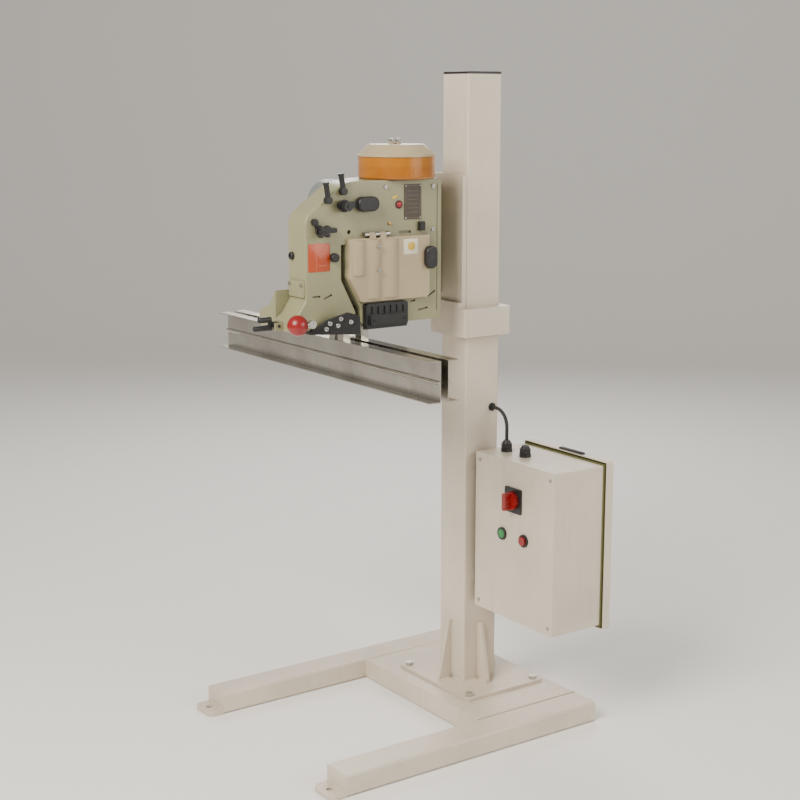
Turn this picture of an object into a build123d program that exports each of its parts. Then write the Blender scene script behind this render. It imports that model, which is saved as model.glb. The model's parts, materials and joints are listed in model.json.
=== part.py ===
"""Bag closer sewing machine: sewing head on a height-adjustable column with an H-shaped base.

Millimetres. Origin on the floor on the column's axis. +Z is up, +X points away from the
operator, +Y is the direction the bag travels. The head hangs on the -X side of the column.
"""
import os
from math import cos, pi, sin, sqrt

from build123d import *

os.makedirs("parts", exist_ok=True)

# ---- driving dimensions: stand ----
RAIL_X = (-571.0, 150.0)
BASE_HALF_Y = 318.0
RAIL_WIDTH = 80.0
RAIL_HEIGHT = 50.0
RAIL_WALL = 3.0
EAR_LENGTH = 40.0
EAR_THICK = 10.0
EAR_HOLE_R = 7.0
DECK_X = (-150.0, 150.0)
DECK_SHEET = 4.0
COLUMN_WIDE = 100.0
COLUMN_WALL = 4.0
COLUMN_TOP = 1546.0
SOLE_X = (-108.0, 128.0)
SOLE_HALF_Y = 145.0
FOOT_THICK = 8.0
GUSSET_REACH = 38.0
GUSSET_TALL = 150.0

# ---- driving dimensions: control box ----
BOX_X = (-27.0, 120.0)
BOX_Y = (-356.0, -64.0)
BOX_Z = (262.0, 652.0)
BOX_SHEET = 1.5
DOOR_DEPTH = 22.0
DOOR_LIP = 9.0

# ---- driving dimensions: carriage and head ----
SLIDE_GAP = 0.08
COLLAR_WALL = 20.0
COLLAR_Z = (932.0, 1000.0)
PLATE_Z = (1000.0, 1316.0)
PLATE_THICK = 12.0
HEAD_X = (-511.0, -143.0)
HEAD_Z = (988.0, 1311.0)
HEAD_FACE = -75.0
LEG_BACK = -4.0
HOUSING_BACK = 60.0
HEAD_WALL = 12.0
SHOULDER_WIDE = 104.0
SHOULDER_TALL = 74.0
THROAT_X = (-381.0, -367.0)
THROAT_HIGH_X = (-418.0, -406.0)
THROAT_BEND_Z = (1027.0, 1100.0)
THROAT_TOP = 1172.0
STITCH_Z = 1018.0
NEEDLE_Y = -42.0
SHAFT_X, SHAFT_Z = -265.0, 1095.0
SHAFT_R = 8.0
MOTOR_X, MOTOR_Z = -228.0, 1238.0
PULLEY_Y = (74.0, 94.0)
HANDWHEEL_R = 52.0
MOTOR_PULLEY_R = 26.0
RUN_GAP = 0.05

# ---- driving dimensions: front cover, tank, guides ----
COVER_X = (-404.0, -186.0)
COVER_Z = (1042.0, 1185.0)
COVER_THICK = 14.0
HINGE_Z = 1193.0
HINGE_Y = HEAD_FACE - 7.0
TANK_AT = (-232.0, -20.0)
TANK_R = 88.0
TANK_Z = (1311.0, 1361.0)
LID_TOP = 1388.0
GUIDE_Y = (-400.0, 517.0)
GUIDE_Z = (866.0, 955.0)
GUIDE_SHEET = 2.0


def block(x, y, z):
    """Rectangular solid given by its three spans."""
    size = (x[1] - x[0], y[1] - y[0], z[1] - z[0])
    middle = ((x[0] + x[1]) / 2, (y[0] + y[1]) / 2, (z[0] + z[1]) / 2)
    return Pos(*middle) * Box(*size)


def rod(axis, at, radius, span):
    """Cylinder along X, Y or Z; `at` holds the two other coordinates in XYZ order."""
    length = span[1] - span[0]
    middle = (span[0] + span[1]) / 2
    if axis == "X":
        return Pos(middle, at[0], at[1]) * Rot(0, 90, 0) * Cylinder(radius, length)
    if axis == "Y":
        return Pos(at[0], middle, at[1]) * Rot(90, 0, 0) * Cylinder(radius, length)
    return Pos(at[0], at[1], middle) * Cylinder(radius, length)


def tube(axis, at, outer, inner, span):
    return rod(axis, at, outer, span) - rod(axis, at, inner, (span[0] - 1, span[1] + 1))


def slab(points, y):
    """Solid with an X-Z outline, extruded over the Y span."""
    outline = Polyline(*[(px, y[0], pz) for px, pz in points], close=True)
    return extrude(make_face(outline), amount=y[1] - y[0], dir=(0, 1, 0))


def edges_at(shape, axis, first, second, tol=0.6):
    """Edges parallel to an axis whose two other coordinates are near the given pair."""
    chosen = []
    for edge in shape.edges().filter_by({"X": Axis.X, "Y": Axis.Y, "Z": Axis.Z}[axis]):
        c = edge.center()
        pair = {"X": (c.Y, c.Z), "Y": (c.X, c.Z), "Z": (c.X, c.Y)}[axis]
        if abs(pair[0] - first) < tol and abs(pair[1] - second) < tol:
            chosen.append(edge)
    return chosen


def rounded(x, y, z, radius, axis="Z"):
    """Block with its four edges along one axis rounded."""
    solid = block(x, y, z)
    spans = {"X": (y, z), "Y": (x, z), "Z": (x, y)}[axis]
    corners = []
    for a in spans[0]:
        for b in spans[1]:
            corners += edges_at(solid, axis, a, b)
    return fillet(corners, radius)


def hex_bolt(axis, at, start, direction, shank_r, shank, head_r, head):
    """Hexagon-head bolt: the shank starts at `start` and runs along direction * shank."""
    end = start + direction * shank
    span = (min(start, end), max(start, end))
    far = start - direction * head
    head_span = (min(start, far), max(start, far))
    prism = extrude(RegularPolygon(head_r, 6), amount=head)
    middle = (head_span[0] + head_span[1]) / 2
    prism = Pos(0, 0, -head / 2) * prism
    if axis == "X":
        prism = Pos(middle, at[0], at[1]) * Rot(0, 90, 0) * prism
    elif axis == "Y":
        prism = Pos(at[0], middle, at[1]) * Rot(90, 0, 0) * prism
    else:
        prism = Pos(at[0], at[1], middle) * prism
    return prism + rod(axis, at, shank_r, span)


def join(pieces):
    total = pieces[0]
    for piece in pieces[1:]:
        total = total + piece
    return total


def save(name, *solids):
    """One STEP file for one piece, which may be a set of equal loose solids."""
    shape = solids[0] if len(solids) == 1 else Compound(children=list(solids))
    export_step(shape, f"parts/{name}.step")


# ======================= stand =======================
def foot_rail(y_outer, side):
    """Rectangular tube on the floor with a drilled ear at its operator end."""
    y = (y_outer, y_outer + RAIL_WIDTH) if side < 0 else (y_outer - RAIL_WIDTH, y_outer)
    rail = rounded(RAIL_X, y, (0, RAIL_HEIGHT), 6.0, "X")
    inner_x = (RAIL_X[0] + RAIL_WALL, RAIL_X[1] - RAIL_WALL)
    inner_y = (y[0] + RAIL_WALL, y[1] - RAIL_WALL)
    rail -= block(inner_x, inner_y, (RAIL_WALL, RAIL_HEIGHT - RAIL_WALL))
    tip = RAIL_X[0] - EAR_LENGTH
    ear = block((tip, RAIL_X[0] + 1), y, (0, EAR_THICK))
    ear = chamfer(edges_at(ear, "Z", tip, y[0]) + edges_at(ear, "Z", tip, y[1]), 12.0)
    return rail + ear - rod("Z", (tip + EAR_LENGTH / 2, (y[0] + y[1]) / 2), EAR_HOLE_R, (-1, EAR_THICK + 1))


save("foot_rail_infeed", foot_rail(-BASE_HALF_Y, -1))
save("foot_rail_outfeed", foot_rail(BASE_HALF_Y, 1))

deck_y = BASE_HALF_Y - RAIL_WIDTH
deck_z = (0.0, RAIL_HEIGHT)
deck = rounded(DECK_X, (-deck_y, deck_y), deck_z, 3.0, "Y")
deck -= block((DECK_X[0] + DECK_SHEET, DECK_X[1] - DECK_SHEET), (-deck_y - 1, deck_y + 1),
              (-1.0, RAIL_HEIGHT - DECK_SHEET))
for rib_y in (-160.0, 0.0, 160.0):
    deck += block((DECK_X[0] + 2, DECK_X[1] - 2), (rib_y - 3, rib_y + 3), (0.0, RAIL_HEIGHT - 2))
bolt_y = SOLE_HALF_Y - 18
FOOT_BOLTS = [(bx, by) for bx in (SOLE_X[0] + 18, SOLE_X[1] - 18) for by in (-bolt_y, bolt_y)]
for bx, by in FOOT_BOLTS:
    deck -= rod("Z", (bx, by), 6.0, (30, RAIL_HEIGHT + 1))
save("cross_deck", deck)

foot_top = RAIL_HEIGHT + FOOT_THICK
foot = rounded(SOLE_X, (-SOLE_HALF_Y, SOLE_HALF_Y), (RAIL_HEIGHT, foot_top), 8.0)
half_column = COLUMN_WIDE / 2
for angle in (0, 90, 180, 270):
    toe = half_column + GUSSET_REACH
    web = slab([(half_column, foot_top - 1), (toe, foot_top - 1), (toe, foot_top + 10),
                (half_column + 10, foot_top + GUSSET_TALL), (half_column, foot_top + GUSSET_TALL)],
               (-4.0, 4.0))
    foot += Rot(0, 0, angle) * web
for bx, by in FOOT_BOLTS:
    foot -= rod("Z", (bx, by), 6.0, (RAIL_HEIGHT - 1, foot_top + 1))
save("column_foot", foot)
save("column_bolts", *[hex_bolt("Z", at, foot_top, -1, 6.0, 34.0, 10.0, 8.0) for at in FOOT_BOLTS])

column = rounded((-half_column, half_column), (-half_column, half_column), (foot_top, COLUMN_TOP), 5.0)
inner = half_column - COLUMN_WALL
column -= block((-inner, inner), (-inner, inner), (foot_top - 1, COLUMN_TOP + 1))
GROMMET_AT = (30.0, 752.0)
column -= rod("Y", GROMMET_AT, 7.0, (-half_column - 1, -inner + 1))
save("column", column)
cap = rounded((-half_column, half_column), (-half_column, half_column), (COLUMN_TOP, COLUMN_TOP + 6), 5.0)
cap = fillet(cap.faces().sort_by(Axis.Z)[-1].edges(), 3.0)
cap += block((-inner, inner), (-inner, inner), (COLUMN_TOP - 18, COLUMN_TOP + 1))
cap -= block((3 - inner, inner - 3), (3 - inner, inner - 3), (COLUMN_TOP - 19, COLUMN_TOP))
save("column_cap", cap)

# ======================= control box =======================
MAIN_SWITCH = (-210.0, 560.0)
START_AT = (-170.0, 470.0)
STOP_AT = (-250.0, 470.0)
GLANDS = [(GROMMET_AT[0], -110.0), (GROMMET_AT[0], -180.0)]

shell = rounded(BOX_X, BOX_Y, BOX_Z, 4.0, "X")
shell -= block((BOX_X[0] + BOX_SHEET, BOX_X[1] + 1), (BOX_Y[0] + BOX_SHEET, BOX_Y[1] - BOX_SHEET),
               (BOX_Z[0] + BOX_SHEET, BOX_Z[1] - BOX_SHEET))
shell -= rod("X", MAIN_SWITCH, 11.0, (BOX_X[0] - 1, BOX_X[0] + 4))
for at in (START_AT, STOP_AT):
    shell -= rod("X", at, 11.3, (BOX_X[0] - 1, BOX_X[0] + 4))
for at in GLANDS:
    shell -= rod("Z", at, 10.0, (BOX_Z[1] - 3, BOX_Z[1] + 1))
# hinge knuckles on the side that faces the column
HINGE_AT = (BOX_X[1] + 7.0, BOX_Y[1] + 5.0)
for z0 in (300.0, 575.0):
    leaf = block((BOX_X[1] - 24, BOX_X[1] + 3), (BOX_Y[1] - 1, BOX_Y[1] + 1.5), (z0, z0 + 18))
    knuckle = tube("Z", HINGE_AT, 5.0, 2.0, (z0, z0 + 18))
    arm = block((BOX_X[1] + 1, HINGE_AT[0] - 2.5), (BOX_Y[1] - 1, HINGE_AT[1]), (z0, z0 + 18))
    shell += leaf + arm + knuckle
    shell += rod("Z", HINGE_AT, 2.01, (z0, z0 + 40))
LATCH_AT = (BOX_Y[0] + 26.0, 560.0)
keeper_z = (LATCH_AT[1] - 15, LATCH_AT[1] + 15)
shell += block((BOX_X[1] - 2.5, BOX_X[1]), (BOX_Y[0] + 1, BOX_Y[0] + 13), keeper_z)
save("control_box_shell", shell)

RAIL_Z = (320.0, 560.0)
rails = [rounded((-20.0, 20.0), (BOX_Y[1], -half_column), (z, z + 40), 3.0, "Y") for z in RAIL_Z]
save("box_mount_rails", *rails)

plate = block((BOX_X[0] + 14, BOX_X[0] + 16), (BOX_Y[0] + 22, BOX_Y[1] - 22), (BOX_Z[0] + 25, 440.0))
for px in (BOX_Y[0] + 40, BOX_Y[1] - 40):
    for pz in (BOX_Z[0] + 45, 425.0):
        plate += rod("X", (px, pz), 5.0, (BOX_X[0] + BOX_SHEET, BOX_X[0] + 14.5))
din_x = BOX_X[0] + 16
din = block((din_x, din_x + 1), (BOX_Y[0] + 35, BOX_Y[1] - 35), (350, 377))
for z0 in (350.0, 376.0):
    din += block((din_x, din_x + 7.5), (BOX_Y[0] + 35, BOX_Y[1] - 35), (z0, z0 + 1))
for z0 in (346.0, 376.0):
    din += block((din_x + 6.5, din_x + 7.5), (BOX_Y[0] + 35, BOX_Y[1] - 35), (z0, z0 + 5))
save("box_backplate", plate + din)
case_x = din_x + 7.5
contactor = rounded((case_x, case_x + 70), (-300, -240), (325, 402), 3.0, "X")
contactor += block((case_x + 69, case_x + 82), (-290, -250), (342, 385))
for k in range(3):
    for z0 in (331.0, 390.0):
        contactor -= rod("X", (-288 + 18 * k, z0 + 3), 3.5, (case_x + 62, case_x + 71))
save("motor_contactor", contactor)
terminals = []
for k in range(10):
    y0 = -215.0 + 8.0 * k
    unit = block((case_x, case_x + 40), (y0, y0 + 7.6), (338, 389))
    unit -= block((case_x + 30, case_x + 41), (y0 + 1.5, y0 + 6.1), (350, 377))
    terminals.append(unit)
save("terminal_strip", *terminals)


def gland(at):
    """Cable gland through the roof of the box, with a locknut below and a dome nut above."""
    top = BOX_Z[1]
    body = rod("Z", at, 10.0, (top - 12, top + 12))
    body += Pos(at[0], at[1], top) * extrude(RegularPolygon(15, 6), amount=8)
    body += Pos(at[0], at[1], top + 9) * extrude(RegularPolygon(14, 6), amount=12)
    body += Pos(at[0], at[1], top + 24) * Cone(11.5, 7.5, 8)
    body += Pos(at[0], at[1], top - BOX_SHEET - 6) * extrude(RegularPolygon(14, 6), amount=6)
    return body - rod("Z", at, 4.5, (top - 14, top + 30))


# cable from the first gland into the hollow column through a grommet
CABLE_R = 4.2
CABLE_BEND = 42.0
gland_x, gland_y = GLANDS[0]
route = FilletPolyline((gland_x, gland_y, BOX_Z[1] - 11), (gland_x, gland_y, GROMMET_AT[1]),
                       (gland_x, -16.0, GROMMET_AT[1]), radius=CABLE_BEND)
start = Plane(origin=route @ 0, z_dir=route % 0)
save("motor_cable", sweep(start * Circle(CABLE_R), path=route))

door_x = (BOX_X[1] + 3.0, BOX_X[1] + 3.0 + DOOR_DEPTH)
lip_y = (BOX_Y[0] - DOOR_LIP, BOX_Y[1] - 2.0)
lip_z = (BOX_Z[0] - DOOR_LIP, BOX_Z[1] + DOOR_LIP)
door = rounded(door_x, lip_y, lip_z, 5.0, "X")
door = fillet(door.faces().sort_by(Axis.X)[-1].edges(), 2.0)
door -= block((door_x[0] - 1, door_x[1] - 2), (lip_y[0] + 2, lip_y[1] - 2), (lip_z[0] + 2, lip_z[1] - 2))
for z0 in (318.3, 593.3):
    door += tube("Z", HINGE_AT, 5.0, 2.06, (z0, z0 + 18))
    door += block((HINGE_AT[0] + 2.4, HINGE_AT[0] + 7), (lip_y[1] - 1, HINGE_AT[1] + 1), (z0, z0 + 18))
door -= rod("X", LATCH_AT, 8.06, (door_x[1] - 3, door_x[1] + 1))
for z0 in (318.3, 593.3):
    door -= rod("Z", HINGE_AT, 2.06, (z0 - 1, z0 + 19))
save("box_door", door)
seal_face = (BOX_X[1] + 0.3, door_x[0])
seal = block((seal_face[0], door_x[1] - 2), (lip_y[0] + 6, lip_y[1] - 3), (lip_z[0] + 6, lip_z[1] - 6))
seal -= block((seal_face[0] - 1, door_x[1]), (lip_y[0] + 15, lip_y[1] - 10), (lip_z[0] + 15, lip_z[1] - 15))
save("door_seal", seal)
latch = rod("X", LATCH_AT, 8.0, (BOX_X[1] - 6, door_x[1] + 2))
latch += rod("X", LATCH_AT, 14.0, (door_x[1] + 0.3, door_x[1] + 6))
latch += rounded((door_x[1] + 5, door_x[1] + 20), (LATCH_AT[0] - 4, LATCH_AT[0] + 4),
                 (LATCH_AT[1] - 20, LATCH_AT[1] + 20), 3.0, "X")
latch += block((BOX_X[1] - 6, BOX_X[1] - 3.5), (LATCH_AT[0] - 7, LATCH_AT[0] + 7),
               (LATCH_AT[1] - 7, LATCH_AT[1] + 21))
save("door_latch", latch)

isolator = rod("X", MAIN_SWITCH, 9.0, (BOX_X[0] - 8, BOX_X[0] + 12))
isolator += rod("X", MAIN_SWITCH, 22.0, (BOX_X[0] - 14, BOX_X[0] - 4.3))
isolator += rounded((BOX_X[0] - 32, BOX_X[0] - 13), (MAIN_SWITCH[0] - 6, MAIN_SWITCH[0] + 6),
                    (MAIN_SWITCH[1] - 21, MAIN_SWITCH[1] + 21), 4.0, "X")
save("isolator_knob", isolator)
escutcheon = rounded((BOX_X[0] - 4, BOX_X[0]), (MAIN_SWITCH[0] - 30, MAIN_SWITCH[0] + 30),
                     (MAIN_SWITCH[1] - 30, MAIN_SWITCH[1] + 30), 3.0, "X")
escutcheon -= rod("X", MAIN_SWITCH, 9.05, (BOX_X[0] - 5, BOX_X[0] + 1))
bezels = [tube("X", at, 15.0, 11.05, (BOX_X[0] - 5, BOX_X[0])) for at in (START_AT, STOP_AT)]
grommet = tube("Y", GROMMET_AT, 7.0, 4.6, (-half_column - 2, -inner + 2))
grommet += tube("Y", GROMMET_AT, 10.0, 4.6, (-half_column - 3, -half_column))
save("box_fittings", escutcheon, *bezels, grommet, *[gland(at) for at in GLANDS])
for name, at, proud in (("start_button", START_AT, 6.0), ("stop_button", STOP_AT, 10.0)):
    button = rod("X", at, 11.0, (BOX_X[0] - proud, BOX_X[0] + 14))
    button = fillet(button.faces().sort_by(Axis.X)[0].edges(), 1.5)
    save(name, button)

# ======================= carriage on the column =======================
bore = half_column + SLIDE_GAP
collar_half = half_column + COLLAR_WALL
collar = rounded((-collar_half, collar_half), (-collar_half, collar_half), COLLAR_Z, 6.0)
bore_block = rounded((-bore, bore), (-bore, bore), (COLLAR_Z[0] - 1, COLLAR_Z[1] + 1), 4.9)
collar -= bore_block
# split with two clamping lugs on the far side
collar += block((collar_half - 6, collar_half + 24), (-17.0, 17.0), (COLLAR_Z[0] + 6, COLLAR_Z[1] - 6))
collar -= block((half_column - 1, collar_half + 25), (-2.0, 2.0), (COLLAR_Z[0] - 1, COLLAR_Z[1] + 1))
CLAMP_AT = (collar_half + 12.0, 966.0)
collar -= rod("Y", CLAMP_AT, 5.05, (-40, 40))
save("clamp_collar", collar)
lever = rod("Y", CLAMP_AT, 5.0, (-24, 30)) + rod("Y", CLAMP_AT, 9.0, (-24, -17.3))
lever += rod("Y", CLAMP_AT, 10.0, (17.3, 32))
lever += rod("Z", (CLAMP_AT[0], 25.0), 5.0, (CLAMP_AT[1] - 78, CLAMP_AT[1]))
lever += Pos(CLAMP_AT[0], 25.0, CLAMP_AT[1] - 80) * Sphere(8.0)
save("collar_clamp_lever", lever)

plate_x = (-half_column - 0.4 - PLATE_THICK, -half_column - 0.4)
PLATE_Y = (-48.0, 92.0)
carriage_plate = rounded(plate_x, PLATE_Y, PLATE_Z, 6.0, "X")
carriage_plate += block((-collar_half, plate_x[1]), (-48.0, 48.0), (PLATE_Z[0], PLATE_Z[0] + 14))
BRACKET_BOLTS = [(76.0, bz) for bz in (1062.0, 1126.0, 1190.0, 1254.0)]
for at in BRACKET_BOLTS:
    carriage_plate -= rod("X", at, 5.0, (plate_x[0] - 1, plate_x[1] + 1))
save("carriage_plate", carriage_plate)
BRACKET_Z = (1030.0, 1290.0)
BRACKET_WEB_Y = (34.0, 50.0)
bracket_x = (HEAD_X[1], plate_x[0])
head_bracket = block((bracket_x[0], bracket_x[0] + 10), (-50.0, 56.0), BRACKET_Z)
head_bracket += block((bracket_x[0] + 9, bracket_x[1] - 1), BRACKET_WEB_Y, BRACKET_Z)
head_bracket += block((bracket_x[1] - 12, bracket_x[1]), (BRACKET_WEB_Y[0], PLATE_Y[1]), BRACKET_Z)
for web_z in BRACKET_Z:
    inward = 4.0 if web_z == BRACKET_Z[0] else -4.0
    rib_z = (min(web_z, web_z + 2 * inward), max(web_z, web_z + 2 * inward))
    head_bracket += block((bracket_x[0] + 9, bracket_x[1] - 11), (BRACKET_WEB_Y[1] - 1, 88.0), rib_z)
for at in BRACKET_BOLTS:
    head_bracket -= rod("X", at, 5.0, (bracket_x[1] - 13, bracket_x[1] + 1))
save("head_bracket", head_bracket)
bolt_face = bracket_x[1] - 12
save("carriage_bolts", *[hex_bolt("X", at, bolt_face, 1, 5.0, 24.0, 9.0, 6.5) for at in BRACKET_BOLTS])

# ======================= sewing head casting =======================
leg_bottom = 988.0
FLARE_X = -552.0
profile = [(FLARE_X, leg_bottom), (FLARE_X, 1010), (-532, 1024), (HEAD_X[0], 1054),
           (HEAD_X[0], HEAD_Z[1] - SHOULDER_TALL), (HEAD_X[0] + SHOULDER_WIDE, HEAD_Z[1]),
           (HEAD_X[1], HEAD_Z[1]), (HEAD_X[1], HEAD_Z[0]), (THROAT_X[1] + 9, HEAD_Z[0]), (THROAT_X[1], HEAD_Z[0] + 10),
           (THROAT_X[1], THROAT_BEND_Z[0]), (THROAT_HIGH_X[1], THROAT_BEND_Z[1]),
           (THROAT_HIGH_X[1], THROAT_TOP), (THROAT_HIGH_X[0], THROAT_TOP),
           (THROAT_HIGH_X[0], THROAT_BEND_Z[1] - 6), (THROAT_X[0], THROAT_BEND_Z[0] - 6),
           (THROAT_X[0], 1004), (THROAT_X[0] - 8, leg_bottom)]
front = slab(profile, (HEAD_FACE, LEG_BACK))
front = fillet(edges_at(front, "Y", HEAD_X[0], HEAD_Z[1] - SHOULDER_TALL), 36.0)
front = fillet(edges_at(front, "Y", HEAD_X[0] + SHOULDER_WIDE, HEAD_Z[1]), 90.0)
front = fillet(edges_at(front, "Y", HEAD_X[1], HEAD_Z[1]), 10.0)
front = fillet(edges_at(front, "Y", -532, 1024) + edges_at(front, "Y", HEAD_X[0], 1054), 22.0)
for bend_x, bend_z in ((THROAT_X[1], THROAT_BEND_Z[0]), (THROAT_HIGH_X[1], THROAT_BEND_Z[1]),
                       (THROAT_HIGH_X[0], THROAT_BEND_Z[1] - 6), (THROAT_X[0], THROAT_BEND_Z[0] - 6)):
    front = fillet(edges_at(front, "Y", bend_x, bend_z), 16.0)
housing = slab([(THROAT_X[1], HEAD_Z[0] + 12), (THROAT_X[1], HEAD_Z[1]),
                (HEAD_X[1], HEAD_Z[1]), (HEAD_X[1], HEAD_Z[0]), (THROAT_X[1] + 9, HEAD_Z[0])],
               (LEG_BACK - 2, HOUSING_BACK))
housing = fillet(edges_at(housing, "Y", HEAD_X[1], HEAD_Z[1]), 10.0)
housing = fillet(edges_at(housing, "Y", THROAT_X[1], HEAD_Z[1]), 60.0)
toe = Polyline((0, -6, leg_bottom), (0, 66, leg_bottom), (0, 66, 1022), (0, 20, 1040), (0, -6, 1074),
               close=True)
toe = Pos(FLARE_X + 4, 0, 0) * extrude(make_face(toe), amount=-404.0 - FLARE_X - 4, dir=(1, 0, 0))
toe = fillet(edges_at(toe, "X", 66, 1022) + edges_at(toe, "X", 20, 1040), 14.0)
casting = front + housing
face_edges = casting.faces().sort_by(Axis.Y)[0].outer_wire().edges()
casting = fillet(face_edges, 3.0) + toe

CAVITY_X = (THROAT_X[1] + 13, HEAD_X[1] - HEAD_WALL)
CAVITY_Z = (HEAD_Z[0] + 10, 1178.0)
cavity_y = (HEAD_FACE + HEAD_WALL, HOUSING_BACK + 1)
casting -= block(CAVITY_X, cavity_y, CAVITY_Z)
casting -= block((-328.0, CAVITY_X[1]), cavity_y, (1190.0, HEAD_Z[1] - HEAD_WALL))
casting -= rounded((CAVITY_X[0] + 4, COVER_X[1] - 16), (HEAD_FACE - 1, HEAD_FACE + HEAD_WALL + 1),
                   (COVER_Z[0] + 14, COVER_Z[1] - 14), 8.0, "Y")
# web that carries the inner shaft bush
WEB_Y = (-20.0, -8.0)
web = block((CAVITY_X[0] - 1, CAVITY_X[1] + 1), WEB_Y, (1030.0, CAVITY_Z[1] + 1))
casting += web
BUSH_R = 13.0
casting -= rod("Y", (SHAFT_X, SHAFT_Z), BUSH_R, (WEB_Y[0] - 1, WEB_Y[1] + 1))
# leg cavity and its side opening
LEG_X = (-499.0, THROAT_HIGH_X[0] - 12)
LEG_Y = (-67.0, -13.0)
LEG_Z = (996.0, 1128.0)
casting -= block(LEG_X, LEG_Y, LEG_Z)
casting -= block((LEG_X[0], THROAT_X[0] - 12), LEG_Y, (LEG_Z[0], 1036.0))
SIDE_Z = (1056.0, 1098.0)
casting -= block((HEAD_X[0] - 1, LEG_X[0] + 1), (LEG_Y[0] + 3, LEG_Y[1] - 3), (SIDE_Z[0] + 7, SIDE_Z[1] - 7))
# holes for the needle bar and needle
casting -= rod("X", (NEEDLE_Y, STITCH_Z), 7.0, (THROAT_X[1] - 0.5, CAVITY_X[0] + 1))
casting -= rod("X", (NEEDLE_Y, STITCH_Z), 4.0, (THROAT_X[0] - 13, THROAT_X[0] + 1))
# window for the feed dog, and the presser stem hole
FEED_Y = (-22.0, 4.0)
FEED_Z = (999.0, 1011.0)
casting -= block((THROAT_X[1] - 1, CAVITY_X[0] + 1), (FEED_Y[0] - 7, FEED_Y[1] + 7),
                 (FEED_Z[0] - 1, FEED_Z[1] + 1))
PRESSER_AT = (-56.0, 1026.0)
PRESSER_STEM = 3.5
casting -= rod("X", PRESSER_AT, PRESSER_STEM + RUN_GAP, (THROAT_X[0] - 13, THROAT_X[0] + 1))
LIFT_AT = (-514.0, 1007.0)
casting -= rod("Y", LIFT_AT, 5.05, (HEAD_FACE - 1, 67.0))
COVER_KNOB_AT = (-188.0, 1134.0)
casting -= rounded((COVER_KNOB_AT[0] - 5, COVER_KNOB_AT[0] + 5), (HEAD_FACE - 1, HEAD_FACE + 13),
                   (COVER_KNOB_AT[1] - 12, COVER_KNOB_AT[1] + 12), 2.0, "Y")
casting -= rod("Y", COVER_KNOB_AT, 10.0, (HEAD_FACE + 5, HEAD_FACE + 13))
# cast slots: X, Z, length and tilt in degrees
FACE_SLOTS = ((-172, 1048, 24, 28), (-196, 1014, 28, 8), (-226, 1034, 16, 8), (-484, 1062, 20, 0),
              (-454, 1060, 22, 22))
for sx, sz, length, tilt in FACE_SLOTS:
    slot = Box(length, 10, 4)
    casting -= Pos(sx, HEAD_FACE, sz) * Rot(0, -tilt, 0) * slot
casting -= rod("Y", (-398.0, 1200.0), 5.0, (HEAD_FACE - 1, HEAD_FACE + 8))
casting -= block((-157.5, -155.5), (HEAD_FACE - 1, HEAD_FACE + 1.5), (HEAD_Z[0] + 20, HEAD_Z[1] - 14))
casting -= rounded((-264.0, -229.0), (HEAD_FACE - 1, HEAD_FACE + 5), (1190.0, 1196.0), 2.9, "Y")
save("head_casting", casting)

rear_x = (CAVITY_X[0] - 6, HEAD_X[1] - 4)
rear_z = (HEAD_Z[0] + 4, HEAD_Z[1] - 7)
rear = block(rear_x, (HOUSING_BACK, HOUSING_BACK + 6), rear_z)
rear = fillet(edges_at(rear, "Y", rear_x[0], rear_z[1]), 54.0)
for corner in ((rear_x[0], rear_z[0]), (rear_x[1], rear_z[0]), (rear_x[1], rear_z[1])):
    rear = fillet(edges_at(rear, "Y", *corner), 8.0)
rear += rod("Y", (SHAFT_X, SHAFT_Z), 20.0, (HOUSING_BACK - 10, HOUSING_BACK + 6))
rear -= rod("Y", (SHAFT_X, SHAFT_Z), BUSH_R, (HOUSING_BACK - 11, HOUSING_BACK + 7))
REAR_SCREWS = [(sx, sz) for sx in (-352.0, -155.0) for sz in (1000.0, 1090.0, 1180.0)]
REAR_SCREWS += [(-334.0, 1278.0), (-155.0, 1294.0)]
for sx, sz in REAR_SCREWS:
    rear += rod("Y", (sx, sz), 4.5, (HOUSING_BACK + 5, HOUSING_BACK + 9))
    rear -= rod("Y", (sx, sz), 2.0, (HOUSING_BACK + 7, HOUSING_BACK + 10))
save("rear_cover", rear)
side_cover = rounded((HEAD_X[0] - 4, HEAD_X[0]), (HEAD_FACE + 4, LEG_BACK - 4), (SIDE_Z[0] + 5, SIDE_Z[1]),
                     3.0, "X")
for sy in (-64.0, -15.0):
    side_cover += rod("X", (sy, SIDE_Z[1] - 9), 3.5, (HEAD_X[0] - 6, HEAD_X[0] - 3))
bushes = [tube("Y", (SHAFT_X, SHAFT_Z), BUSH_R, SHAFT_R + RUN_GAP, WEB_Y),
          tube("Y", (SHAFT_X, SHAFT_Z), BUSH_R, SHAFT_R + RUN_GAP, (HOUSING_BACK - 10, HOUSING_BACK + 6))]
save("shaft_bushes", *bushes)

# ======================= drive =======================
shaft_at = (SHAFT_X, SHAFT_Z)
save("main_shaft", rod("Y", shaft_at, SHAFT_R, (-52, 100)) + rod("Y", shaft_at, 12.0, (-7.5, 4))
     + rod("Y", shaft_at, 12.0, (40, 49.5)))
crank = rod("Y", shaft_at, 30.0, (-46, -34)) + rod("Y", shaft_at, 14.0, (-35, -21))
crank += rod("Y", (SHAFT_X, SHAFT_Z + 15), 6.0, (-60, -45))
crank -= rod("Y", shaft_at, SHAFT_R, (-61, -20))
crank -= rod("Y", (SHAFT_X + 18, SHAFT_Z - 12), 5.0, (-47, -33))
crank -= rod("Y", (SHAFT_X - 18, SHAFT_Z - 12), 5.0, (-47, -33))
save("crank_disc", crank)


def vee_pulley(at, radius, span):
    """Solid pulley with one V groove in its rim."""
    middle = (span[0] + span[1]) / 2
    wheel = rod("Y", at, radius, span)
    groove = Polyline((radius - 9, -3), (radius - 9, 3), (radius + 1, 6.5), (radius + 1, -6.5), close=True)
    ring = revolve(make_face(groove), Axis.Y)
    return wheel - Pos(at[0], middle, at[1]) * ring


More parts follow.
